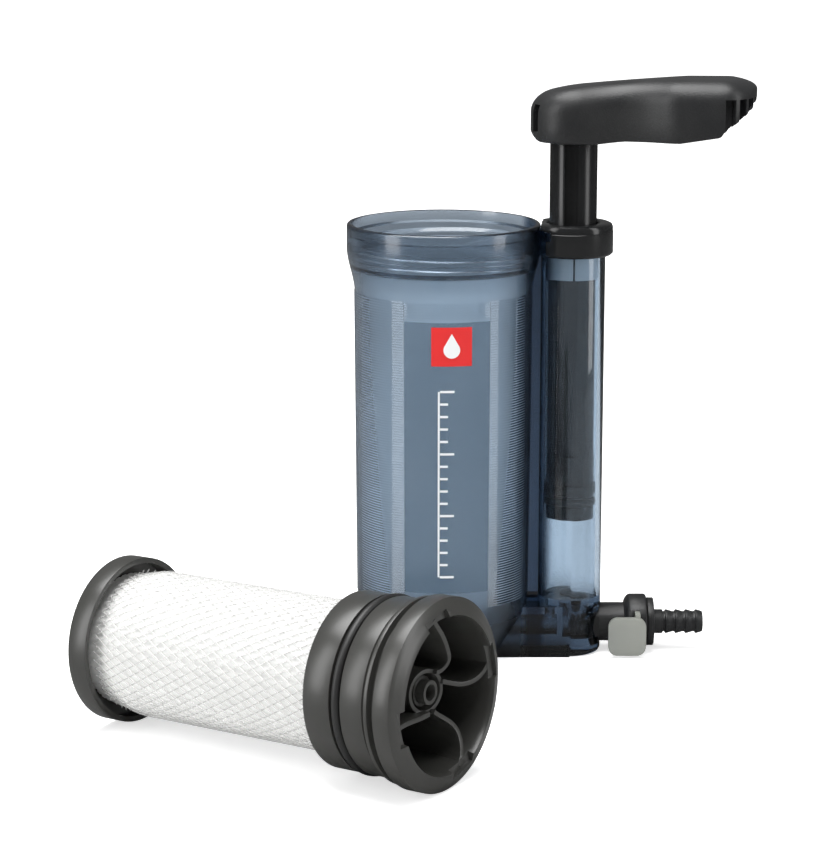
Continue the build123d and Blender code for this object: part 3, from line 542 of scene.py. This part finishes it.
def make_materials():
    """One procedural material per slot of the record."""
    if MATERIALS:
        return
    black = (0.013, 0.0135, 0.0145)
    soft_black = (0.017, 0.0175, 0.018)
    label_blue, tab_red = (0.10, 0.15, 0.21), (0.76, 0.018, 0.018)
    white, net_white = (0.85, 0.86, 0.86), (0.74, 0.74, 0.73)
    cartridge_grey, latch_grey = (0.040, 0.040, 0.037), (0.30, 0.31, 0.28)
    MATERIALS.update({
        "housing_clear": housing_material(),
        "label_film": moulded(
            "WF label film", label_blue, (0.09, 0.14, 0.20), 0.16, 0.04, 900, 0.005, Alpha=0.45),
        "tab_red": moulded("WF tab", tab_red, (0.72, 0.017, 0.017), 0.35),
        "print_white": moulded("WF print", white, (0.80, 0.81, 0.82), 0.4),
        "black_plastic": moulded(
            "WF black plastic", black, soft_black, 0.38, 0.1, 1900, 0.30, 0.0002,
            **{"Specular IOR Level": 0.45}),
        "black_gloss": moulded(
            "WF black gloss", (0.013, 0.0135, 0.014), (0.010, 0.0105, 0.011), 0.16, 0.08, 900, 0.02,
            **{"Specular IOR Level": 0.35}),
        "bush_grey": moulded("WF bush", (0.80, 0.84, 0.86), (0.76, 0.80, 0.83), 0.3),
        "black_rubber": moulded("WF rubber", (0.014, 0.014, 0.014), (0.02, 0.02, 0.02), 0.42),
        "steel": moulded("WF steel", (0.55, 0.55, 0.55), (0.5, 0.5, 0.5), 0.25, Metallic=1.0),
        "latch_grey": moulded("WF latch", latch_grey, (0.27, 0.28, 0.26), 0.38, 0.08, 2600, 0.08),
        "head_grey": moulded(
            "WF cartridge plastic", cartridge_grey, (0.037, 0.037, 0.034), 0.31, 0.03, 2400, 0.03,
            **{"Specular IOR Level": 0.6}),
        "mesh_white": moulded("WF net", net_white, (0.71, 0.71, 0.70), 0.3, Alpha=0.40),
        "media_white": moulded("WF medium", net_white, (0.71, 0.71, 0.70), 0.8, 0.05, 1200, 0.10, 0.0002),
        "carbon": moulded("WF carbon", (0.02, 0.02, 0.02), (0.035, 0.035, 0.035), 0.8),
    })


def dress(obj, slot):
    """The slot's material on every face of the piece."""
    make_materials()
    obj.data.materials.clear()
    obj.data.materials.append(MATERIALS[slot])
    for face in obj.data.polygons:
        face.material_index = 0


def node_slots():
    """Material slot of each CAD node from the packed record."""
    return {part["node"]: part["material_slot"] for part in frame["record"]["subparts"]}


# ---------------------------------------------------------------- operators
class WF_OT_housing(bpy.types.Operator):
    """Housing with its ribs, flared mouth and helical thread"""

    bl_idname = "wf.housing"
    bl_label = "Housing"
    bl_options = {"REGISTER", "UNDO"}

    def execute(self, context):
        build_housing(context.scene.wf_housing)
        return {"FINISHED"}


def canister_line():
    """Outer (radius, height) line of the canister from the axis at the foot to the axis at the rim."""
    points = [(0, 0), (FOOT_R, 0), (WALL_LOW_R, CONE_TOP), (WALL_TOP_R, FLARE_LOW)]
    steps = 14
    for k in range(1, steps + 1):
        share = k / steps
        ease = share * share * (3 - 2 * share)
        radius = WALL_TOP_R + (RIM_R - WALL_TOP_R) * ease
        points.append((radius, FLARE_LOW + (FLARE_HIGH - FLARE_LOW) * share))
    for inset, drop in ((0, 0.0009), (0.0001, 0.0004), (0.0004, 0.0001), (0.0007, 0)):
        points.append((RIM_R - inset, RIM_TOP - drop))
    return [*points, (0, RIM_TOP)]


def cavity_line(s, seat_r, root_r):
    """(Radius, height) line of the canister's inside: cone, wall, sealing bore, thread root and lip."""
    return [
        (0, s.wall), (FOOT_R - s.wall / 2, s.wall), (WALL_LOW_R - s.wall, CONE_TOP + s.wall / 2),
        (seat_r, SEAT_LOW), (seat_r, SEAT_HIGH), (root_r, SEAT_HIGH + 0.0016), (root_r, RIM_TOP - 0.0038),
        (LIP_R, RIM_TOP - 0.0032), (LIP_R, RIM_TOP - 0.0004),
        (LIP_R + 0.0004, RIM_TOP + 0.0010), (0, RIM_TOP + 0.0010),
    ]


def build_housing(s):
    """Canister, barrel, web, base block and ribs joined, then bored out, as one closed mesh."""
    steps = s.segments
    seat_r = WALL_TOP_R - s.wall - 0.00005
    root_r = seat_r + 0.0020
    body = spun_solid("housing_body", canister_line(), 0.0, steps)
    barrel = [
        (0, 0), (BARREL_R - 0.0013, 0), (BARREL_R - 0.00045, 0.0004), (BARREL_R, 0.0013),
        (BARREL_R, BARREL_TOP - 0.0006), (BARREL_R - 0.00025, BARREL_TOP - 0.0001),
        (BARREL_R - 0.00055, BARREL_TOP), (0, BARREL_TOP),
    ]
    combine(body, spun_solid("barrel", barrel, PUMP_X, 96), "UNION")
    web = block("web", (seat_r + 0.0004, -WEB_HALF, 0.0), (PUMP_X - BORE_R - 0.0002, WEB_HALF, WEB_TOP))
    combine(body, web, "UNION")
    combine(body, block("foot", (FOOT_R / 2, -BARREL_R, 0.0), (PUMP_X, BARREL_R, BLOCK_TOP)), "UNION")
    loop = rib_loop(s, RIBS_LOW, RIBS_HIGH)
    ribs = spun_band("ribs", loop, LABEL_RIGHT, LABEL_LEFT + math.tau, 0.0, int(steps * 0.85))
    combine(body, ribs, "UNION")
    loop = rib_loop(s, LABEL_TOP, RIBS_HIGH)
    gap = 0.002
    top_ribs = spun_band("top_ribs", loop, LABEL_LEFT + gap, LABEL_RIGHT - gap, 0.0, int(steps * 0.15))
    combine(body, top_ribs, "UNION")
    combine(body, spun_solid("cavity", cavity_line(s, seat_r, root_r), 0.0, steps), "DIFFERENCE")
    combine(body, thread_ridge(s, root_r, RIM_TOP - 0.0054), "UNION")
    combine(body, round_bar("bore", BORE_R, (PUMP_X, 0, BORE_FLOOR), (PUMP_X, 0, 0.15), 96), "DIFFERENCE")
    rise_x, port_x = PUMP_X + 0.0016, PUMP_X - 0.0062
    bars = (
        ("valve_pad", 0.0060, (0.0184, 0, PORT_Z), (0.0250, 0, PORT_Z), "UNION"),
        ("chamber", 0.00365, (rise_x, 0, PORT_Z), (rise_x, 0, BORE_FLOOR - 0.0020), "DIFFERENCE"),
        ("duct_in", 0.0042, (PUMP_X - 0.00205, 0, PORT_Z), (PUMP_X + 0.0057, 0, PORT_Z), "DIFFERENCE"),
        ("pocket", 0.0069, (PUMP_X + 0.0056, 0, PORT_Z), (PUMP_X + 0.0118, 0, PORT_Z), "DIFFERENCE"),
        ("duct_out", 0.0034, (0.0204, 0, PORT_Z), (PUMP_X - 0.00385, 0, PORT_Z), "DIFFERENCE"),
        ("port", 0.0017, (port_x, 0, PORT_Z), (port_x, 0, BORE_FLOOR + 0.0010), "DIFFERENCE"),
    )
    for name, radius, start, end, operation in bars:
        combine(body, round_bar(name, radius, start, end), operation)
    lug_in, lug_out, lug_low, lug_high = BARREL_R - 0.00025, BARREL_R + 0.00155, 0.1365, 0.1390
    loop = [(lug_in, lug_low), (lug_out, lug_low), (lug_out, lug_high), (lug_in, lug_high)]
    for first in (36, 216):
        lug = spun_band("lug", loop, math.radians(first), math.radians(first + 16), PUMP_X, 8)
        combine(body, lug, "UNION")
    tidy_mesh(body)
    smooth(body, 30)
    dress(body, "housing_clear")
    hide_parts("housing")
    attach(body, "housing")


def rib_loop(s, first, last):
    """Closed loop of a rib band: a wavy outer line and a plain line inside the wall."""
    inside = WALL_LOW_R - 0.0006
    proud = 0.00001
    count = int((last - first) / s.rib_pitch)
    outer = []
    for k in range(2 * count + 1):
        z = first + k * s.rib_pitch / 2
        base = WALL_LOW_R + (WALL_TOP_R - WALL_LOW_R) * (z - CONE_TOP) / (FLARE_LOW - CONE_TOP)
        outer.append((base + (s.rib_height if k % 2 else proud), z))
    return [(inside, first), *outer, (inside, outer[-1][1])]


def thread_ridge(s, root_r, z_top):
    """Helical ridge that fades in and out at its ends."""
    per_turn = 72
    crest = 0.00045
    half = crest + s.thread_depth / 2
    crest_r = root_r - s.thread_depth
    loop = [(root_r + 0.0005, -half), (crest_r, -crest), (crest_r, crest), (root_r + 0.0005, half)]
    bm = bmesh.new()
    turn = Matrix.Rotation(math.radians(-20), 3, "Z")
    verts = [bm.verts.new(turn @ Vector((r, 0, z_top + h))) for r, h in loop]
    face = bm.faces.new(verts)
    bmesh.ops.spin(
        bm, geom=verts + list(face.edges) + [face], cent=(0, 0, 0), axis=(0, 0, 1),
        dvec=(0, 0, -s.thread_pitch / per_turn),
        angle=math.tau * s.thread_turns, steps=int(per_turn * s.thread_turns),
    )
    bmesh.ops.remove_doubles(bm, verts=bm.verts, dist=1e-7)
    fade = 0.35
    sunk_r = root_r + 0.0002
    for vert in bm.verts:
        turns = (z_top - vert.co.z) / s.thread_pitch
        share = min(1.0, max(0.02, turns / fade), max(0.02, (s.thread_turns - turns) / fade))
        radius = math.hypot(vert.co.x, vert.co.y)
        if radius < root_r and share < 1.0:
            scale = (sunk_r - (sunk_r - radius) * share) / radius
            vert.co.x *= scale
            vert.co.y *= scale
    bmesh.ops.recalc_face_normals(bm, faces=bm.faces)
    return new_object("thread", bm)


def cartridge_matrix():
    """Frame of the lying cartridge: local Z runs along its axis, from the far face of the end cup."""
    slope = math.asin((HEAD_REST_R - CUP_REST_R) / REST_SPAN)
    place = Matrix.Translation((*CARTRIDGE_FOOT, CUP_REST_R / math.cos(slope)))
    return place @ Matrix.Rotation(CARTRIDGE_HEADING, 4, "Z") @ Matrix.Rotation(math.pi / 2 - slope, 4, "Y")


def sleeve_taper(z):
    """How far the sleeve and the medium draw in towards the end cup."""
    share = min(1.0, max(0.0, (z - CUP_DEPTH) / TAPER_LENGTH))
    return TAPER * (1 - share * share * (3 - 2 * share))


def draw_in(verts):
    """Pulls vertices in towards the cartridge's axis by the sleeve's taper."""
    for vert in verts:
        radius = math.hypot(vert.co.x, vert.co.y)
        scale = (radius - sleeve_taper(vert.co.z)) / radius
        vert.co.x *= scale
        vert.co.y *= scale


class WF_OT_medium(bpy.types.Operator):
    """Tightly pleated medium under the net"""

    bl_idname = "wf.medium"
    bl_label = "Pleated medium"
    bl_options = {"REGISTER", "UNDO"}

    def execute(self, context):
        s = context.scene.wf_net
        bm = bmesh.new()
        made = bmesh.ops.create_circle(bm, radius=MEDIUM_R, segments=4 * s.pleats)
        for vert in made["verts"][3::4]:
            vert.co *= (MEDIUM_R - s.pleat_depth) / MEDIUM_R
        bmesh.ops.translate(bm, vec=(0, 0, MEDIUM_LOW), verts=bm.verts)
        edges = list(bm.edges)
        bmesh.ops.contextual_create(bm, geom=edges)
        levels = [0.0062 + 0.0012 * k for k in range(10)] + [0.0500, MEDIUM_HIGH]
        height = MEDIUM_LOW
        for level in levels:
            grown = bmesh.ops.extrude_edge_only(bm, edges=edges)["geom"]
            edges = [e for e in grown if isinstance(e, bmesh.types.BMEdge)]
            ring = [v for v in grown if isinstance(v, bmesh.types.BMVert)]
            bmesh.ops.translate(bm, vec=(0, 0, level - height), verts=ring)
            height = level
        bmesh.ops.contextual_create(bm, geom=edges)
        draw_in(bm.verts)
        bmesh.ops.recalc_face_normals(bm, faces=bm.faces)
        medium = new_object("medium", bm)
        medium.data.transform(cartridge_matrix())
        smooth(medium, 60)
        dress(medium, "media_white")
        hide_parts("pleated_media")
        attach(medium, "cartridge")
        return {"FINISHED"}


class WF_OT_net(bpy.types.Operator):
    """Diamond net over the pleated medium"""

    bl_idname = "wf.net"
    bl_label = "Net"
    bl_options = {"REGISTER", "UNDO"}

    def execute(self, context):
        s = context.scene.wf_net
        bm = bmesh.new()
        over = 0.00012
        for lean in (1, -1):
            build_strands(bm, s, lean, SLEEVE_R + lean * over)
        draw_in(bm.verts)
        for k in range(s.strands):
            fringe_end(bm, math.tau * (k + 0.3) / s.strands, 0.0006 * math.sin(7.3 * k))
        net = new_object("net_sleeve", bm)
        net.data.transform(cartridge_matrix())
        smooth(net, 50)
        dress(net, "mesh_white")
        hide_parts("mesh_sleeve")
        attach(net, "cartridge")
        return {"FINISHED"}


def fringe_end(bm, angle, drift):
    """Cut end of a strand that stands off the sleeve beside the end cup."""
    length, height = 0.0017, 0.0078
    reach = SLEEVE_R - sleeve_taper(height) + 0.0004
    made = bmesh.ops.create_cone(
        bm, cap_ends=True, segments=5, radius1=0.00026, radius2=0.00012, depth=length,
    )
    verts = made["verts"]
    bmesh.ops.rotate(bm, cent=(0, 0, 0), matrix=Matrix.Rotation(math.radians(62), 3, "Y"), verts=verts)
    bmesh.ops.translate(bm, vec=(reach, 0, height + drift), verts=verts)
    bmesh.ops.rotate(bm, cent=(0, 0, 0), matrix=Matrix.Rotation(angle, 3, "Z"), verts=verts)


def build_strands(bm, s, lean, radius):
    """One strand swept as a helix, then copied round the axis."""
    steps = 46
    half = s.thickness / 2
    deep = half * 0.7
    corners = [(radius - deep, -half), (radius + deep, -half), (radius + deep, half), (radius - deep, half)]
    section = [bm.verts.new((r, side, SLEEVE_LOW)) for r, side in corners]
    face = bm.faces.new(section)
    before = set(bm.verts) - set(section)
    bmesh.ops.spin(
        bm, geom=section + list(face.edges) + [face], cent=(0, 0, 0), axis=(0, 0, 1),
        dvec=(0, 0, (SLEEVE_HIGH - SLEEVE_LOW) / steps), angle=s.lean * lean, steps=steps,
    )
    strand = [v for v in bm.verts if v not in before]
    bmesh.ops.remove_doubles(bm, verts=strand, dist=1e-7)
    strand = [v for v in bm.verts if v not in before]
    faces = list({f for v in strand for f in v.link_faces})
    bmesh.ops.recalc_face_normals(bm, faces=faces)
    edges = list({e for v in strand for e in v.link_edges})
    for k in range(1, s.strands):
        made = bmesh.ops.duplicate(bm, geom=strand + edges + faces)
        copy = [v for v in made["geom"] if isinstance(v, bmesh.types.BMVert)]
        round_axis = Matrix.Rotation(math.tau * k / s.strands, 3, "Z")
        bmesh.ops.rotate(bm, cent=(0, 0, 0), matrix=round_axis, verts=copy)


CROWN = ((-0.0085, 0.0159), (0.0210, 0.0196), (0.0546, 0.0204))
UNDERSIDE = (
    (-0.0148, 0.0034), (-0.0104, 0.0002), (0.0, 0.0), (0.009, 0.0),
    (0.017, 0.001), (0.036, 0.0012), (0.0435, 0.0016),
    (0.0480, 0.0036), (0.0492, 0.0052), (0.053, 0.0078), (0.0556, 0.0102), (0.0577, 0.0152),
)


def crown_height(u):
    """Height of the crown over the handle's underside, a parabola through three points."""
    (u0, z0), (u1, z1), (u2, z2) = CROWN
    first = (z1 - z0) / (u1 - u0)
    second = ((z2 - z1) / (u2 - u1) - first) / (u2 - u0)
    return z0 + first * (u - u0) + second * (u - u0) * (u - u1) - 0.00005


def underside_height(u):
    for (u0, z0), (u1, z1) in zip(UNDERSIDE, UNDERSIDE[1:]):
        if u <= u1:
            return z0 + (z1 - z0) * max(0.0, u - u0) / (u1 - u0)
    return UNDERSIDE[-1][1]


def handle_ring(s, inset):
    """Plan outline drawn in by the inset: lobe, waist, palm, corner and tip, then mirrored back."""
    reach = s.lobe + s.waist
    wu = (reach ** 2 - (s.palm + s.waist) ** 2 + s.palm_x ** 2) / (2 * s.palm_x)
    wv = math.sqrt(reach ** 2 - wu ** 2)
    lobe_a = math.atan2(wv, wu)
    palm_a = math.atan2(wv, wu - s.palm_x)
    tip_c = s.tip_x - s.tip
    corner_v = s.palm - s.corner
    corner_u = tip_c + math.sqrt((s.tip - s.corner) ** 2 - corner_v ** 2)
    corner_a = math.atan2(corner_v, corner_u - tip_c)
    arcs = (
        (0, 0, s.lobe - inset, math.pi, lobe_a, 18),
        (wu, wv, s.waist + inset, lobe_a - math.pi, palm_a - math.pi, 12),
        (s.palm_x, 0, s.palm - inset, palm_a, math.pi / 2, 8),
        (corner_u, corner_v, s.corner - inset, math.pi / 2, corner_a, 10),
        (tip_c, 0, s.tip - inset, corner_a, 0, 8),
    )
    half = []
    for cu, cv, radius, a0, a1, count in arcs:
        for k in range(count + (a1 == 0)):
            a = a0 + (a1 - a0) * k / count
            half.append((cu + radius * math.cos(a), cv + radius * math.sin(a)))
    return half + [(u, -v) for u, v in reversed(half[1:-1])]


def handle_solid(name, s, inset, rounding, drop, floor=None):
    """Closed solid of the handle's outline with a rounded crown and a shaped or flat underside."""
    edge = handle_ring(s, inset)
    top = [crown_height(u) - drop for u, v in edge]
    low = [underside_height(u) if floor is None else floor for u, v in edge]
    depth = [min(rounding, 0.45 * (t - b)) for t, b in zip(top, low)]
    lip = 0.0008 if floor is None else 0.0
    rings = []
    for share in (1.0, 0.3) if lip else ():
        ring = handle_ring(s, inset + share * lip)
        rings.append([(u, v, b + (lip * share if share < 1 else 0)) for (u, v), b in zip(ring, low)])
    for share in (0.0, 0.5):
        spans = zip(edge, top, low, depth)
        rings.append([(u, v, b + lip + (t - d - b - lip) * share) for (u, v), t, b, d in spans])
    crown_steps = 8
    for k in range(crown_steps + 1):
        a = math.pi / 2 * k / crown_steps
        ring = handle_ring(s, inset + rounding * (1 - math.cos(a)))
        fall = 1 - math.sin(a)
        rings.append([(u, v, crown_height(u) - drop - d * fall) for (u, v), d in zip(ring, depth)])
    bm = bmesh.new()
    made = [[bm.verts.new((u, v, HANDLE_Z + z)) for u, v, z in ring] for ring in rings]
    loops = [[bm.edges.new(pair) for pair in zip(ring, ring[1:] + ring[:1])] for ring in made]
    for lower, upper in zip(loops, loops[1:]):
        bmesh.ops.bridge_loops(bm, edges=lower + upper)
    # Both ends are closed across the handle, so that the crown keeps its line along it.
    count = len(edge)
    for ring in (made[0], made[-1]):
        for k in range(count // 2):
            corners = [ring[k], ring[k + 1], ring[(count - k - 1) % count], ring[(count - k) % count]]
            bmesh.ops.contextual_create(bm, geom=list(dict.fromkeys(corners)))
    bmesh.ops.recalc_face_normals(bm, faces=bm.faces)
    return new_object(name, bm)


def turned_block(low, high, angle, centre_x=0.0):
    """Box between two corners, turned about a vertical line."""
    obj = block("cutter", low, high)
    obj.data.transform(Matrix.Translation((centre_x, 0, 0)) @ Matrix.Rotation(angle, 4, "Z"))
    return obj


class WF_OT_handle(bpy.types.Operator):
    """Pump handle: rounded shell with ribs, the rod's boss and slots round its tip"""

    bl_idname = "wf.handle"
    bl_label = "Handle"
    bl_options = {"REGISTER", "UNDO"}

    def execute(self, context):
        s = context.scene.wf_handle
        z = HANDLE_Z
        handle = handle_solid("handle_shell", s, 0.0, s.rounding, 0.0)
        hollow = handle_solid("hollow", s, s.wall, s.rounding - s.wall, s.wall, -0.008)
        combine(hollow, round_bar("boss", BOSS_R, (0, 0, z - 0.013), (0, 0, z + 0.030), 64), "DIFFERENCE")
        spine = block("spine", (0.0, -RIB_HALF, z + 0.003), (s.tip_x, RIB_HALF, z + 0.030))
        combine(hollow, spine, "DIFFERENCE")
        for rib_x in (s.palm_x - 0.013, s.palm_x):
            rib = block("rib", (rib_x, -s.palm, z + 0.005), (rib_x + 2 * RIB_HALF, s.palm, z + 0.030))
            combine(hollow, rib, "DIFFERENCE")
        combine(handle, hollow, "DIFFERENCE")
        bore = round_bar("rod_hole", 0.00775, (0, 0, z - 0.005), (0, 0, ROD_TOP + 0.0001), 64)
        combine(handle, bore, "DIFFERENCE")
        pin_end = BOSS_R - 0.0001
        pin_hole = round_bar("pin_hole", 0.00145, (0, -pin_end, PIN_Z), (0, pin_end, PIN_Z), 24)
        combine(handle, pin_hole, "DIFFERENCE")
        for k in range(TIP_SLOTS):
            angle = math.radians(13.7) * (k - (TIP_SLOTS - 1) / 2)
            low, high = (0.016, -SLOT_HALF, z - 0.003), (0.026, SLOT_HALF, z + 0.015)
            combine(handle, turned_block(low, high, angle, s.palm_x + 0.002), "DIFFERENCE")
        for angle in (144, 216):
            low, high = (0.0105, -SLOT_HALF, z + 0.0032), (0.0158, SLOT_HALF, z + 0.0118)
            combine(handle, turned_block(low, high, math.radians(angle)), "DIFFERENCE")
        tidy_mesh(handle)
        handle.data.transform(Matrix.Translation((PUMP_X, 0, 0)) @ Matrix.Rotation(s.turn, 4, "Z"))
        smooth(handle, 38)
        dress(handle, "black_plastic")
        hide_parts("handle")
        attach(handle, "rod")
        return {"FINISHED"}


def smooth_group():
    """Geometry nodes that shade smooth except over edges sharper than an angle."""
    found = bpy.data.node_groups.get("WF smooth by angle")
    if found:
        return found
    tree = bpy.data.node_groups.new("WF smooth by angle", "GeometryNodeTree")
    tree.interface.new_socket(name="Geometry", in_out="INPUT", socket_type="NodeSocketGeometry")
    tree.interface.new_socket(name="Geometry", in_out="OUTPUT", socket_type="NodeSocketGeometry")
    nodes, link = tree.nodes, tree.links.new
    source = nodes.new("NodeGroupInput")
    target = nodes.new("NodeGroupOutput")
    whole = nodes.new("GeometryNodeSetShadeSmooth")
    sharp = nodes.new("GeometryNodeSetShadeSmooth")
    sharp.domain = "EDGE"
    sharp.inputs["Shade Smooth"].default_value = False
    angle = nodes.new("GeometryNodeInputMeshEdgeAngle")
    over = nodes.new("FunctionNodeCompare")
    over.data_type = "FLOAT"
    over.operation = "GREATER_THAN"
    over.inputs["B"].default_value = math.radians(32)
    link(source.outputs[0], whole.inputs["Geometry"])
    link(whole.outputs[0], sharp.inputs["Geometry"])
    link(angle.outputs["Unsigned Angle"], over.inputs["A"])
    link(over.outputs["Result"], sharp.inputs["Selection"])
    link(sharp.outputs[0], target.inputs[0])
    return tree


# Width of the softened edges of the CAD parts that show.
EDGES = {
    "pump_cap": 0.00035, "handle": 0.0005, "pump_rod": 0.00025, "guide_bush": 0.0002,
    "inlet_coupling": 0.0004, "latch_plate": 0.0004, "hose_insert": 0.0002,
    "cartridge_end_cup": 0.0005, "cartridge_head": 0.0004,
}


class WF_OT_parts(bpy.types.Operator):
    """Finishes and softened edges of the CAD parts that show"""

    bl_idname = "wf.parts"
    bl_label = "CAD parts"
    bl_options = {"REGISTER", "UNDO"}

    def execute(self, context):
        slots = node_slots()
        for name, node in frame["nodes"].items():
            if node.hide_render:
                continue
            weld = node.modifiers.new("weld", "WELD")
            weld.merge_threshold = 2e-6
            if name in EDGES:
                bevel = node.modifiers.new("edges", "BEVEL")
                bevel.width = EDGES[name]
                bevel.segments = 2
                bevel.limit_method = "ANGLE"
                bevel.angle_limit = math.radians(40)
                bevel.harden_normals = False
            shade = node.modifiers.new("shade", "NODES")
            shade.node_group = smooth_group()
            dress(node, slots[name])
        return {"FINISHED"}


def floor_material(lift):
    """White floor that glows a little to the camera alone, and looks darker in the parts' gloss."""
    mat = moulded("WF floor", (0.93, 0.93, 0.93), (0.92, 0.92, 0.92), 0.6, 0.05, 30, 0.01)
    tree = mat.node_tree
    path = tree.nodes.new("ShaderNodeLightPath")
    place = tree.nodes.new("ShaderNodeTexCoord")
    away = tree.nodes.new("ShaderNodeVectorMath")
    away.operation = "LENGTH"
    far = tree.nodes.new("ShaderNodeMapRange")
    far.inputs["From Min"].default_value = 0.25
    far.inputs["From Max"].default_value = 0.9
    far.inputs["To Min"].default_value = lift
    far.inputs["To Max"].default_value = 1.1
    glow = tree.nodes.new("ShaderNodeMath")
    glow.operation = "MULTIPLY"
    bounce = tree.nodes.new("ShaderNodeMix")
    bounce.data_type = "RGBA"
    bounce.inputs["B"].default_value = (0.22, 0.22, 0.22, 1)
    shader = tree.nodes["Principled BSDF"]
    mirrored = tree.nodes.new("ShaderNodeMath")
    mirrored.operation = "SUBTRACT"
    mirrored.use_clamp = True
    tree.links.new(path.outputs["Is Glossy Ray"], mirrored.inputs[0])
    tree.links.new(path.outputs["Is Transmission Ray"], mirrored.inputs[1])
    tree.links.new(mirrored.outputs[0], bounce.inputs["Factor"])
    tree.links.new(shader.inputs["Base Color"].links[0].from_socket, bounce.inputs["A"])
    tree.links.new(bounce.outputs["Result"], shader.inputs["Base Color"])
    tree.links.new(place.outputs["Object"], away.inputs[0])
    tree.links.new(away.outputs["Value"], far.inputs["Value"])
    tree.links.new(far.outputs["Result"], glow.inputs[1])
    tree.links.new(path.outputs["Is Camera Ray"], glow.inputs[0])
    tree.links.new(glow.outputs[0], shader.inputs["Emission Strength"])
    return mat


def surroundings(strength, backdrop):
    """Dim grey surroundings for the object that look white to the camera."""
    world = bpy.data.worlds.new("studio")
    world.use_nodes = True
    tree = world.node_tree
    background = tree.nodes["Background"]
    background.inputs["Color"].default_value = (1, 1, 1, 1)
    path = tree.nodes.new("ShaderNodeLightPath")
    level = tree.nodes.new("ShaderNodeMapRange")
    level.inputs["To Min"].default_value = strength
    level.inputs["To Max"].default_value = backdrop
    seen = tree.nodes.new("ShaderNodeMath")
    seen.operation = "MAXIMUM"
    tree.links.new(path.outputs["Is Camera Ray"], seen.inputs[0])
    tree.links.new(path.outputs["Is Transmission Ray"], seen.inputs[1])
    tree.links.new(seen.outputs[0], level.inputs["Value"])
    tree.links.new(level.outputs["Result"], background.inputs["Strength"])
    return world


class WF_OT_stage(bpy.types.Operator):
    """White floor, soft lights, surroundings and the camera"""

    bl_idname = "wf.stage"
    bl_label = "Stage"
    bl_options = {"REGISTER", "UNDO"}

    def execute(self, context):
        s = context.scene.wf_stage
        bm = bmesh.new()
        bmesh.ops.create_grid(bm, x_segments=1, y_segments=1, size=4.0)
        floor = new_object("floor", bm)
        floor.data.materials.append(floor_material(s.lift))
        lamps = (
            ("key", (-0.15, -0.10, 1.15), 1.1, 0.8, s.key),
            ("left", (-0.85, -0.45, 0.40), 0.35, 0.9, 1.4 * s.fill),
            ("right", (0.85, -0.35, 0.45), 0.30, 0.9, s.fill),
        )
        for name, place, width, height, power in lamps:
            lamp = bpy.data.lights.new(name, "AREA")
            lamp.shape = "RECTANGLE"
            lamp.size, lamp.size_y = width, height
            lamp.energy = power
            holder = bpy.data.objects.new(name, lamp)
            holder.location = place
            aim = Vector((0, 0, 0.08)) - Vector(place)
            holder.rotation_euler = aim.to_track_quat("-Z", "Y").to_euler()
            context.scene.collection.objects.link(holder)
        context.scene.world = surroundings(s.world, s.backdrop)
        camera = bpy.data.cameras.new("camera")
        camera.lens = s.camera_lens
        camera.sensor_width = 36.0
        camera.sensor_fit = "AUTO"
        camera.clip_start, camera.clip_end = 0.01, 20.0
        holder = bpy.data.objects.new("camera", camera)
        holder.location = (s.camera_x, s.camera_y, s.camera_z)
        holder.rotation_euler = (math.pi / 2 - s.camera_pitch, 0, 0)
        context.scene.collection.objects.link(holder)
        context.scene.camera = holder
        context.scene.view_settings.view_transform = "Standard"
        return {"FINISHED"}


OPERATORS = (WF_OT_housing, WF_OT_handle, WF_OT_medium, WF_OT_net, WF_OT_parts, WF_OT_stage)
SETTINGS = {
    "wf_housing": WF_HousingSettings, "wf_handle": WF_HandleSettings,
    "wf_net": WF_NetSettings, "wf_stage": WF_StageSettings,
}


class WF_PT_panel(bpy.types.Panel):
    """Lists the filter's pieces and the stage"""

    bl_idname = "WF_PT_panel"
    bl_label = "Pump water filter"
    bl_space_type = "VIEW_3D"
    bl_region_type = "UI"
    bl_category = "Filter"

    def draw(self, context):
        for operator in OPERATORS:
            self.layout.operator(operator.bl_idname)
        for name, kind in SETTINGS.items():
            column = self.layout.column(align=True)
            column.label(text=kind.__doc__)
            for field in kind.__annotations__:
                column.prop(getattr(context.scene, name), field)


def register():
    for kind in (*SETTINGS.values(), *OPERATORS, WF_PT_panel):
        bpy.utils.register_class(kind)
    for name, kind in SETTINGS.items():
        setattr(bpy.types.Scene, name, bpy.props.PointerProperty(type=kind))


def unregister():
    for name in SETTINGS:
        delattr(bpy.types.Scene, name)
    for kind in (WF_PT_panel, *reversed(OPERATORS), *reversed(list(SETTINGS.values()))):
        bpy.utils.unregister_class(kind)


def main():
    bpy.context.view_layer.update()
    register()
    bpy.ops.wf.housing()
    bpy.ops.wf.handle()
    bpy.ops.wf.medium()
    bpy.ops.wf.net()
    bpy.ops.wf.parts()
    bpy.ops.wf.stage()


if __name__ == "__main__":
    main()
